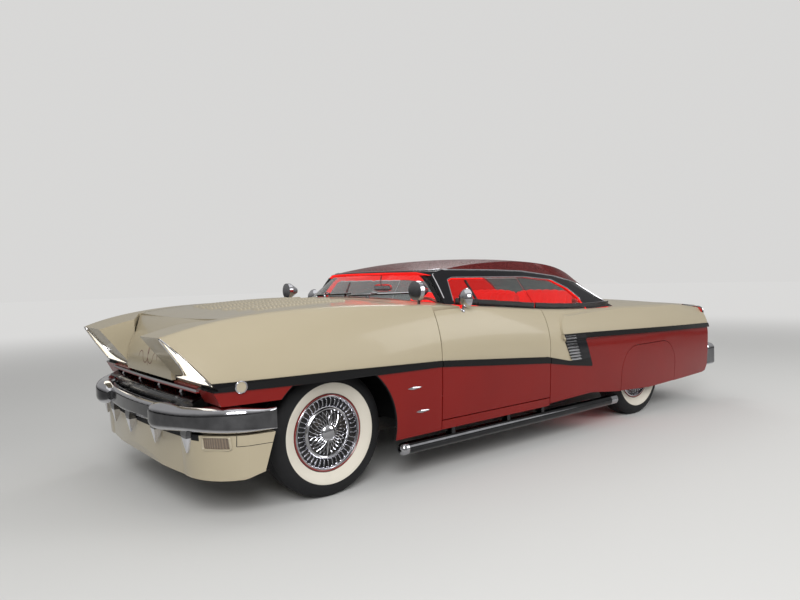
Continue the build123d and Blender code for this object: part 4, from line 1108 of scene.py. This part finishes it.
class HARDTOP_OT_lamps(bpy.types.Operator):
    """Lit lamp glasses with their bezels"""

    bl_idname = "hardtop.lamps"
    bl_label = "Lamps"

    def execute(self, context):
        settings = context.scene.hardtop
        give(lens("headlamp_glass", (1.0, 0.93, 0.78), 2.1, 0.016), "headlamps")
        give(lens("parking_lens", (0.17, 0.12, 0.08), 0.02, 0.010), "parking_lamps")
        give(lens("tail_lens", (0.60, 0.010, 0.012), 0.35, 0.010), "tail_lamps")
        bright = chrome("bezel_chrome", settings.trim, 0.07, 0.6)
        frame_paint = enamel("lamp_frame_paint", settings.cream)
        front = tree_of("parking_lamps")
        for side, word in SIDES:
            bm = bmesh.new()
            loop = []
            for y, z in round_corners(LAMP, 2):
                station = LAMP_FOOT + LAMP_SLOPE * (z - LAMP_FOOT_HEIGHT)
                loop.append((at(station) + 0.005, side * y / 1000.0, z / 1000.0))
            sweep(bm, loop, round_section(0.0036, 6), Vector((1, 0, 0.2)).normalized(), closed=True)
            piece("headlamp_bezel_" + word, bm, [bright])
            bm = bmesh.new()
            y, z = side * 0.845, 0.417
            edge = []
            for a, b in rounded_loop(0.112, 0.062, 0.012, 4):
                glass_y = y + min(max(a, -0.0515), 0.0515)
                glass_z = z + min(max(b, -0.0265), 0.0265)
                place, _ = from_front(front, glass_y, glass_z)
                edge.append((Vector((place.x + 0.001, y + a, z + b)), AHEAD))
            lay_strip(bm, edge, strip_section(0.010, 0.007), closed=True)
            piece("parking_frame_" + word, bm, [frame_paint])
            bm = bmesh.new()
            for x, outline, section in (
                (at(-2610), rounded_loop(0.102, 0.156, 0.043, 6), round_section(0.007, 8)),
                (at(-2640.2), rounded_loop(0.036, 0.052, 0.017, 5), round_section(0.0025, 6)),
            ):
                loop = [(x, side * 0.800 + a, 0.768 + b) for a, b in outline]
                sweep(bm, loop, section, -AHEAD, closed=True)
            piece("tail_lamp_bezel_" + word, bm, [bright])
        return {"FINISHED"}


class HARDTOP_OT_wheels(bpy.types.Operator):
    """Whitewall tyres and wheel covers in place of the plain ones"""

    bl_idname = "hardtop.wheels"
    bl_label = "Wheels and tyres"

    def execute(self, context):
        settings = context.scene.hardtop
        tyre = [rubber("tyre_rubber", (0.008, 0.008, 0.009)), whitewall("tyre_white", settings.white)]
        cover = [
            chrome("cover_chrome", shade(settings.trim, 1.3), 0.07, 0.55),
            enamel("wheel_red", settings.red, 0.25),
            worn_metal("wheel_steel", (0.02, 0.02, 0.022)),
        ]
        for end, station, y in (("front_", 1511.5, 0.7365), ("rear_", -1511.5, 0.745)):
            for side, word in SIDES:
                name = end + word
                place = Vector((at(station), side * y, 0.350))
                axis = LEFTWARD * side
                bm = bmesh.new()
                lathe(bm, TYRE, place, axis, 96, closed=True)
                made = piece("tyre_dressed_" + name, bm, tyre, "wheel_" + name, 40.0)
                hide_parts("tyre_" + name)
                bm = bmesh.new()
                lathe(bm, COVER, place, axis, 96)
                self.spokes(bm, place, axis)
                lathe(bm, HUB_CAP, place, axis, 40)
                made = piece("wheel_cover_" + name, bm, cover, "wheel_" + name)
                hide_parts("wheel_" + name)
        return {"FINISHED"}

    def spokes(self, bm, place, axis):
        """Ring of fins, crossed wires and a spinner of two arms."""
        for turn in turns(40):
            way = toward(AHEAD, UPWARD, turn)
            rib(bm, place + axis * 0.043, way, axis, 0.149, 0.187, 0.0095, 0.0125, 0.014)
        for turn in turns(28):
            for lean in (0.30, -0.30):
                points = []
                for t in (0.0, 0.33, 0.67, 1.0):
                    out = toward(AHEAD, UPWARD, turn + lean * t) * (0.118 - 0.072 * t)
                    points.append(place + out + axis * (0.055 + 0.016 * math.sin(math.pi * t / 2)))
                sweep(bm, points, round_section(0.0018, 4), axis)
        for turn in (1.72, 1.72 + math.pi):
            way = toward(AHEAD, UPWARD, turn)
            rib(bm, place + axis * 0.068, way, axis, 0.0, 0.124, 0.019, 0.007, 0.012)


class HARDTOP_OT_hood(bpy.types.Operator):
    """Rows of louvres on the hood, and the wipers"""

    bl_idname = "hardtop.hood"
    bl_label = "Hood louvres and wipers"

    def execute(self, context):
        settings = context.scene.hardtop
        # Painted highlight: the louvres are the upper paint brightened by a quarter.
        materials = [
            enamel("louvre_highlight_paint", shade(settings.cream, 1.25)),
            rubber("louvre_shadow", (0.01, 0.01, 0.01)),
        ]
        half = settings.louvre_wide / 2
        lid = tree_of("hood")
        for side, word in SIDES:
            bm = bmesh.new()
            for middle, start, count in LOUVRE_ROWS:
                for number in range(count):
                    x = at(start) - settings.louvre_pitch * number
                    self.louvre(bm, lid, x, side * middle, half)
            piece("hood_louvres_" + word, bm, materials, "hood", 60.0)
        self.wipers(settings)
        return {"FINISHED"}

    def louvre(self, bm, lid, x, y, half):
        """One raised louvre, open towards the windscreen."""
        grid = []
        for back, rise in LOUVRE:
            line = []
            for u in steps(-1, 1, 8):
                point, normal = from_above(lid, x - back * (1 - 0.25 * abs(u) ** 3), y + u * half)
                level = rise if rise < 0 else rise * (1 - abs(u) ** 4) - 0.0004
                line.append(bm.verts.new(point + normal * level))
            grid.append(line)
        for a, b in zip(grid, grid[1:]):
            for k in range(8):
                face = bm.faces.new((a[k], a[k + 1], b[k + 1], b[k]))
                face.material_index = 1 if b is grid[-1] else 0
        left = [line[-1] for line in grid[1:]]
        right = [line[0] for line in grid[-2:0:-1]]
        bm.faces.new(grid[0] + left + grid[-1][-2::-1] + right)

    def wipers(self, settings):
        """Two wipers parked along the foot of the windscreen."""
        materials = [
            chrome("wiper_chrome", settings.trim, 0.1),
            rubber("wiper_rubber", (0.012, 0.012, 0.012)),
        ]
        screen = tree_of("windscreen")
        cowl = tree_of("cowl")
        for word, pivot_y, tip_y, low_y in (("left", 0.30, 0.60, 0.16), ("right", -0.14, 0.16, -0.30)):
            bm = bmesh.new()
            foot, up = from_above(cowl, at(895 - 130 * pivot_y), pivot_y)
            lathe(bm, WIPER_FOOT, foot, up, 24)
            middle, out = from_front(screen, (tip_y + low_y) / 2, 1.078)
            reach = foot + up * 0.014
            knee = reach.lerp(middle, 0.55) + out * 0.022
            sweep(bm, [reach, knee, middle + out * 0.014], round_section(0.0035, 6, 1.4), out)
            row = zip(steps(low_y, tip_y, 8), steps(1.070, 1.082, 8))
            blade = [from_front(screen, y, z) for y, z in row]
            lay_strip(bm, blade, flat_section(0.002, -0.0005, 0.008), index=1)
            lay_strip(bm, [(p + n * 0.009, n) for p, n in blade], flat_section(0.003, -0.001, 0.003))
            piece("wiper_" + word, bm, materials)


class HARDTOP_OT_mirrors(bpy.types.Operator):
    """Inner mirror and a round mirror on each door"""

    bl_idname = "hardtop.mirrors"
    bl_label = "Mirrors"

    def execute(self, context):
        settings = context.scene.hardtop
        materials = [
            chrome("mirror_shell", settings.trim, 0.06, 0.8),
            chrome("mirror_glass", (0.75, 0.76, 0.78), 0.01),
        ]
        bm = bmesh.new()
        place = Vector((at(496), 0, 1.114))
        rings = []
        for back, scale in MIRROR_SHELL:
            ring = []
            for t in turns(40):
                c, s = math.cos(t), math.sin(t)
                y = 0.105 * math.copysign(abs(c) ** 0.6, c) * scale
                z = 0.028 * math.copysign(abs(s) ** 0.7, s) * scale
                ring.append(place + Vector((-back, y, z)))
            rings.append(ring)
        rows = loft(bm, rings, ends=False)
        bm.faces.new(rows[0]).material_index = 1
        bm.faces.new(rows[-1])
        bends = ((0.012, 0, 0), (0.022, 0, 0.045), (0.010, 0, 0.090))
        sweep(bm, [place + Vector(bend) for bend in bends], round_section(0.006, 10), LEFTWARD)
        piece("inner_mirror", bm, materials)
        doors = tree_of("door_left", "door_right")
        for side, word in SIDES:
            bm = bmesh.new()
            foot, up = from_above(doors, at(560), side * 0.896)
            head = Vector((at(535), side * 0.905, 1.048))
            lathe(bm, MIRROR_FOOT, foot, up, 24)
            bend = foot.lerp(head, 0.5) + AHEAD * 0.006
            sweep(bm, [foot, bend, head], round_section(0.006, 10), LEFTWARD)
            lathe(bm, MIRROR_HEAD, head, (-1, side * 0.18, 0), 40)
            piece("door_mirror_" + word, bm, materials, "door_" + word)
        return {"FINISHED"}


class HARDTOP_OT_cabin(bpy.types.Operator):
    """Seats, door trims, dashboard fittings and carpets"""

    bl_idname = "hardtop.cabin"
    bl_label = "Cabin"

    def execute(self, context):
        settings = context.scene.hardtop
        # The seats get a painted glow of 3.4.
        hide = leather("seat_hide", settings.seat, 3.4)
        bright = chrome("cabin_chrome", settings.trim, 0.1)
        for node, move, inner, outer in (
            ("front_seat", 0, 0.10, 0.605),
            ("rear_seat", -675, 0.012, 0.575),
        ):
            for side, word in SIDES:
                for part, outline, channels in (("cushion", CUSHION, 5), ("back", BACKREST, 6)):
                    bm = bmesh.new()
                    points = metres((x + move, z) for x, z in outline)
                    low, high = sorted((side * inner, side * outer))
                    upholstered(bm, points, low, high, channels, 0.016, 0.011)
                    name = "%s_%s_%s" % (node, part, word)
                    made = piece(name, bm, [hide], "body", 60.0)
                    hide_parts(node)
        self.visors(hide)
        self.dashboard(settings, bright)
        self.horn_ring(bright)
        self.doors(settings, bright)
        give(carpet_and_underseal("floor_carpet", shade(settings.seat, 0.35)), "floor_pan")
        return {"FINISHED"}

    def visors(self, hide):
        """Padded sun visors under the windscreen's header."""
        lining = tree_of("roof")
        x = at(430)
        for side, word in SIDES:
            bm = bmesh.new()
            rings = []
            for t, scale in VISOR_SWELL:
                y = side * (0.075 + 0.395 * t)
                z = cast(lining, (x, y, 1.0), UPWARD)[0].z - 0.024
                rings.append([(x + a, y, z + b * scale) for a, b in round_corners(VISOR, 2)])
            loft(bm, rings)
            made = piece("sun_visor_" + word, bm, [hide], "body", 60.0)

    def dashboard(self, settings, bright):
        """Paint of the dashboard, its dials, knobs, trim strip and speaker bars."""
        give(enamel("dash_paint", shade(settings.red, 0.8), 0.25), "dashboard")
        give(enamel("column_paint", settings.cream), "steering_column")
        give(rubber("wheel_plastic", (0.42, 0.38, 0.30), 0.3), "steering_wheel")
        dash = tree_of("dashboard")
        bm = bmesh.new()
        for y, radius in DIALS:
            r = radius * 1000
            rim = ((-2, r + 7), (6, r + 6), (10, r + 2), (9, r - 1), (3, r - 3, 1), (3, 1, 1))
            lathe(bm, rim, *cast(dash, (0.0, y, DIAL_HEIGHT), AHEAD), 40)
        for y in (-0.10, -0.16, 0.10, 0.16):
            lathe(bm, KNOB, *cast(dash, (0.0, y, 0.845), AHEAD), 24)
        strip = [cast(dash, (0.0, y, 0.930), AHEAD) for y in steps(-0.70, 0.70, 28)]
        lay_strip(bm, strip, strip_section(0.012, 0.004))
        for z in steps(0.835, 0.915, 8):
            line = [cast(dash, (0.0, y, z), AHEAD) for y in (-0.62, -0.52, -0.42, -0.34)]
            lay_strip(bm, line, strip_section(0.004, 0.003))
        piece("dash_fittings", bm, [bright, dial_face("dial_face")])

    def horn_ring(self, bright):
        """Ring, its two arms and the button on the steering wheel."""
        bm = bmesh.new()
        tilt = math.radians(24)
        axis = Vector((-math.cos(tilt), 0, math.sin(tilt)))
        hub = Vector((at(330), 0.380, 0.850))
        across = axis.orthogonal().normalized()
        other = axis.cross(across)
        middle = hub + axis * 0.012
        ring = [middle + toward(across, other, t) * 0.115 for t in turns(48)]
        sweep(bm, ring, round_section(0.0035, 8), axis, closed=True)
        for way in (other, -other):
            sweep(bm, [middle + way * 0.02, middle + way * 0.115], round_section(0.003, 6), axis)
        lathe(bm, HORN_BUTTON, hub, axis, 32)
        piece("horn_ring", bm, [bright], "steering_wheel")

    def doors(self, settings, bright):
        """Winders, handles, arm rests and a bright strip on the door trims."""
        # The arm rests get a faint painted glow.
        hide = leather("arm_rest_hide", settings.seat, 0.10)
        for side, word in SIDES:
            bm = bmesh.new()
            y = side * 0.825
            inner = -LEFTWARD * side
            for station, z in ((380, 0.72), (130, 0.74)):
                place = Vector((at(station), y, z))
                lathe(bm, WINDER, place, inner, 24)
                arm = [(0, 0.020, 0), (-0.05, 0.026, -0.02), (-0.095, 0.026, -0.03)]
                arm = [place + Vector((a, 0, c)) + inner * b for a, b, c in arm]
                sweep(bm, arm, round_section(0.005, 8), inner)
            strip = [(Vector((at(station), y, 0.66)), inner) for station in steps(740, -160, 18)]
            lay_strip(bm, strip, strip_section(0.012, 0.004))
            piece("door_fittings_" + word, bm, [bright], "door_" + word)
            bm = bmesh.new()
            rings = []
            for t, scale in ARM_REST_SWELL:
                x = at(480 - 420 * t)
                section = round_corners(ARM_REST, 2)
                rings.append([(x, y - side * a * scale, 0.63 + b * scale) for a, b in section])
            loft(bm, rings)
            made = piece("arm_rest_" + word, bm, [hide], "door_" + word, 60.0)


class HARDTOP_OT_chassis(bpy.types.Operator):
    """Frame, running gear, engine and tank finishes"""

    bl_idname = "hardtop.chassis"
    bl_label = "Chassis"

    def execute(self, context):
        give(worn_metal("frame_paint", (0.018, 0.018, 0.019)), "chassis_frame", "fuel_tank")
        gear = worn_metal("gear_metal", (0.05, 0.05, 0.052))
        give(gear, "front_suspension", "rear_axle", "knuckle_left", "knuckle_right")
        give(worn_metal("engine_iron", (0.06, 0.012, 0.010), 0.45, 0.2), "engine_block")
        give(fins("radiator_black"), "radiator")
        return {"FINISHED"}


class HARDTOP_OT_stage(bpy.types.Operator):
    """Floor, backdrop, lamps and camera"""

    bl_idname = "hardtop.stage"
    bl_label = "Stage"

    def execute(self, context):
        scene = context.scene
        scene.view_settings.view_transform = "Standard"
        data = bpy.data.cameras.new("camera")
        data.lens = 29.25
        data.sensor_width = 36.0
        camera = bpy.data.objects.new("camera", data)
        scene.collection.objects.link(camera)
        camera.matrix_world = camera_matrix(Vector((3.635, 3.799, 1.181)), -128.91, -1.90, -1.48)
        scene.camera = camera
        self.floor(scene)
        self.world(scene)
        for name, place, size, power in (
            ("key", (5.5, 6.5, 5.0), 4.0, 520.0),
            ("side", (-5.0, 6.5, 4.0), 4.0, 240.0),
            ("top", (0.5, 0.5, 8.0), 9.0, 150.0),
            ("back", (-5.0, -5.0, 6.5), 3.0, 110.0),
        ):
            light = bpy.data.lights.new(name, "AREA")
            light.size = size
            light.energy = power
            lamp = bpy.data.objects.new(name, light)
            scene.collection.objects.link(lamp)
            lamp.location = place
            lamp.rotation_mode = "QUATERNION"
            lamp.rotation_quaternion = (Vector((0, 0, 0.6)) - Vector(place)).to_track_quat("-Z", "Y")
        return {"FINISHED"}

    def floor(self, scene):
        """Pale floor that fades into the backdrop."""
        bm = bmesh.new()
        bmesh.ops.create_grid(bm, x_segments=1, y_segments=1, size=60.0)
        mesh = bpy.data.meshes.new("floor")
        bm.to_mesh(mesh)
        bm.free()
        floor = bpy.data.objects.new("floor", mesh)
        scene.collection.objects.link(floor)
        graph = Graph("floor")
        far = (graph.x * graph.x + graph.y * graph.y).sqrt().ramp(4.0, 15.0)
        rays = graph.node("ShaderNodeLightPath").outputs
        seen = Value(graph, rays["Is Camera Ray"]).high(Value(graph, rays["Is Transmission Ray"]))
        lit = graph.mix(far * seen, NO_LIGHT, (0.686, 0.682, 0.674, 1.0))
        tone = graph.mix(far, (0.62, 0.62, 0.61, 1.0), NO_LIGHT)
        mesh.materials.append(graph.surface(tone, 0.9, specular=0.1, lit=lit, power=1.0))

    def world(self, scene):
        """Even backdrop, brighter to the camera and through glass than as a light."""
        world = scene.world or bpy.data.worlds.new("world")
        scene.world = world
        world.use_nodes = True
        tree = world.node_tree
        back = tree.nodes["Background"]
        back.inputs["Color"].default_value = (0.88, 0.875, 0.865, 1.0)
        path = tree.nodes.new("ShaderNodeLightPath")
        seen = tree.nodes.new("ShaderNodeMath")
        seen.operation = "MAXIMUM"
        tree.links.new(path.outputs["Is Camera Ray"], seen.inputs[0])
        tree.links.new(path.outputs["Is Transmission Ray"], seen.inputs[1])
        shown = tree.nodes.new("ShaderNodeMapRange")
        shown.inputs["To Min"].default_value = 0.42
        shown.inputs["To Max"].default_value = 0.78
        tree.links.new(seen.outputs[0], shown.inputs["Value"])
        tree.links.new(shown.outputs["Result"], back.inputs["Strength"])


class HARDTOP_PT_panel(bpy.types.Panel):
    """Settings and steps of the car's looks"""

    bl_label = "Hardtop car"
    bl_idname = "HARDTOP_PT_panel"
    bl_space_type = "VIEW_3D"
    bl_region_type = "UI"
    bl_category = "Hardtop"

    def draw(self, context):
        settings = context.scene.hardtop
        for name in HardtopSettings.__annotations__:
            self.layout.prop(settings, name)
        for step in STEPS:
            self.layout.operator(step.bl_idname)


STEPS = (
    HARDTOP_OT_paint,
    HARDTOP_OT_glass,
    HARDTOP_OT_brightwork,
    HARDTOP_OT_ornaments,
    HARDTOP_OT_lamps,
    HARDTOP_OT_wheels,
    HARDTOP_OT_hood,
    HARDTOP_OT_mirrors,
    HARDTOP_OT_cabin,
    HARDTOP_OT_chassis,
    HARDTOP_OT_stage,
)
CLASSES = (HardtopSettings, *STEPS, HARDTOP_PT_panel)


def register():
    """Registers the classes and the scene's settings."""
    for made in CLASSES:
        bpy.utils.register_class(made)
    bpy.types.Scene.hardtop = bpy.props.PointerProperty(type=HardtopSettings)


def unregister():
    """Takes the classes and the settings away again."""
    del bpy.types.Scene.hardtop
    for made in reversed(CLASSES):
        bpy.utils.unregister_class(made)


def main():
    """Builds every piece."""
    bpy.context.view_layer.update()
    register()
    for step in STEPS:
        name = step.bl_idname.split(".")[1]
        if getattr(bpy.ops.hardtop, name)() != {"FINISHED"}:
            raise RuntimeError("step " + name + " did not finish")


if __name__ == "__main__":
    main()
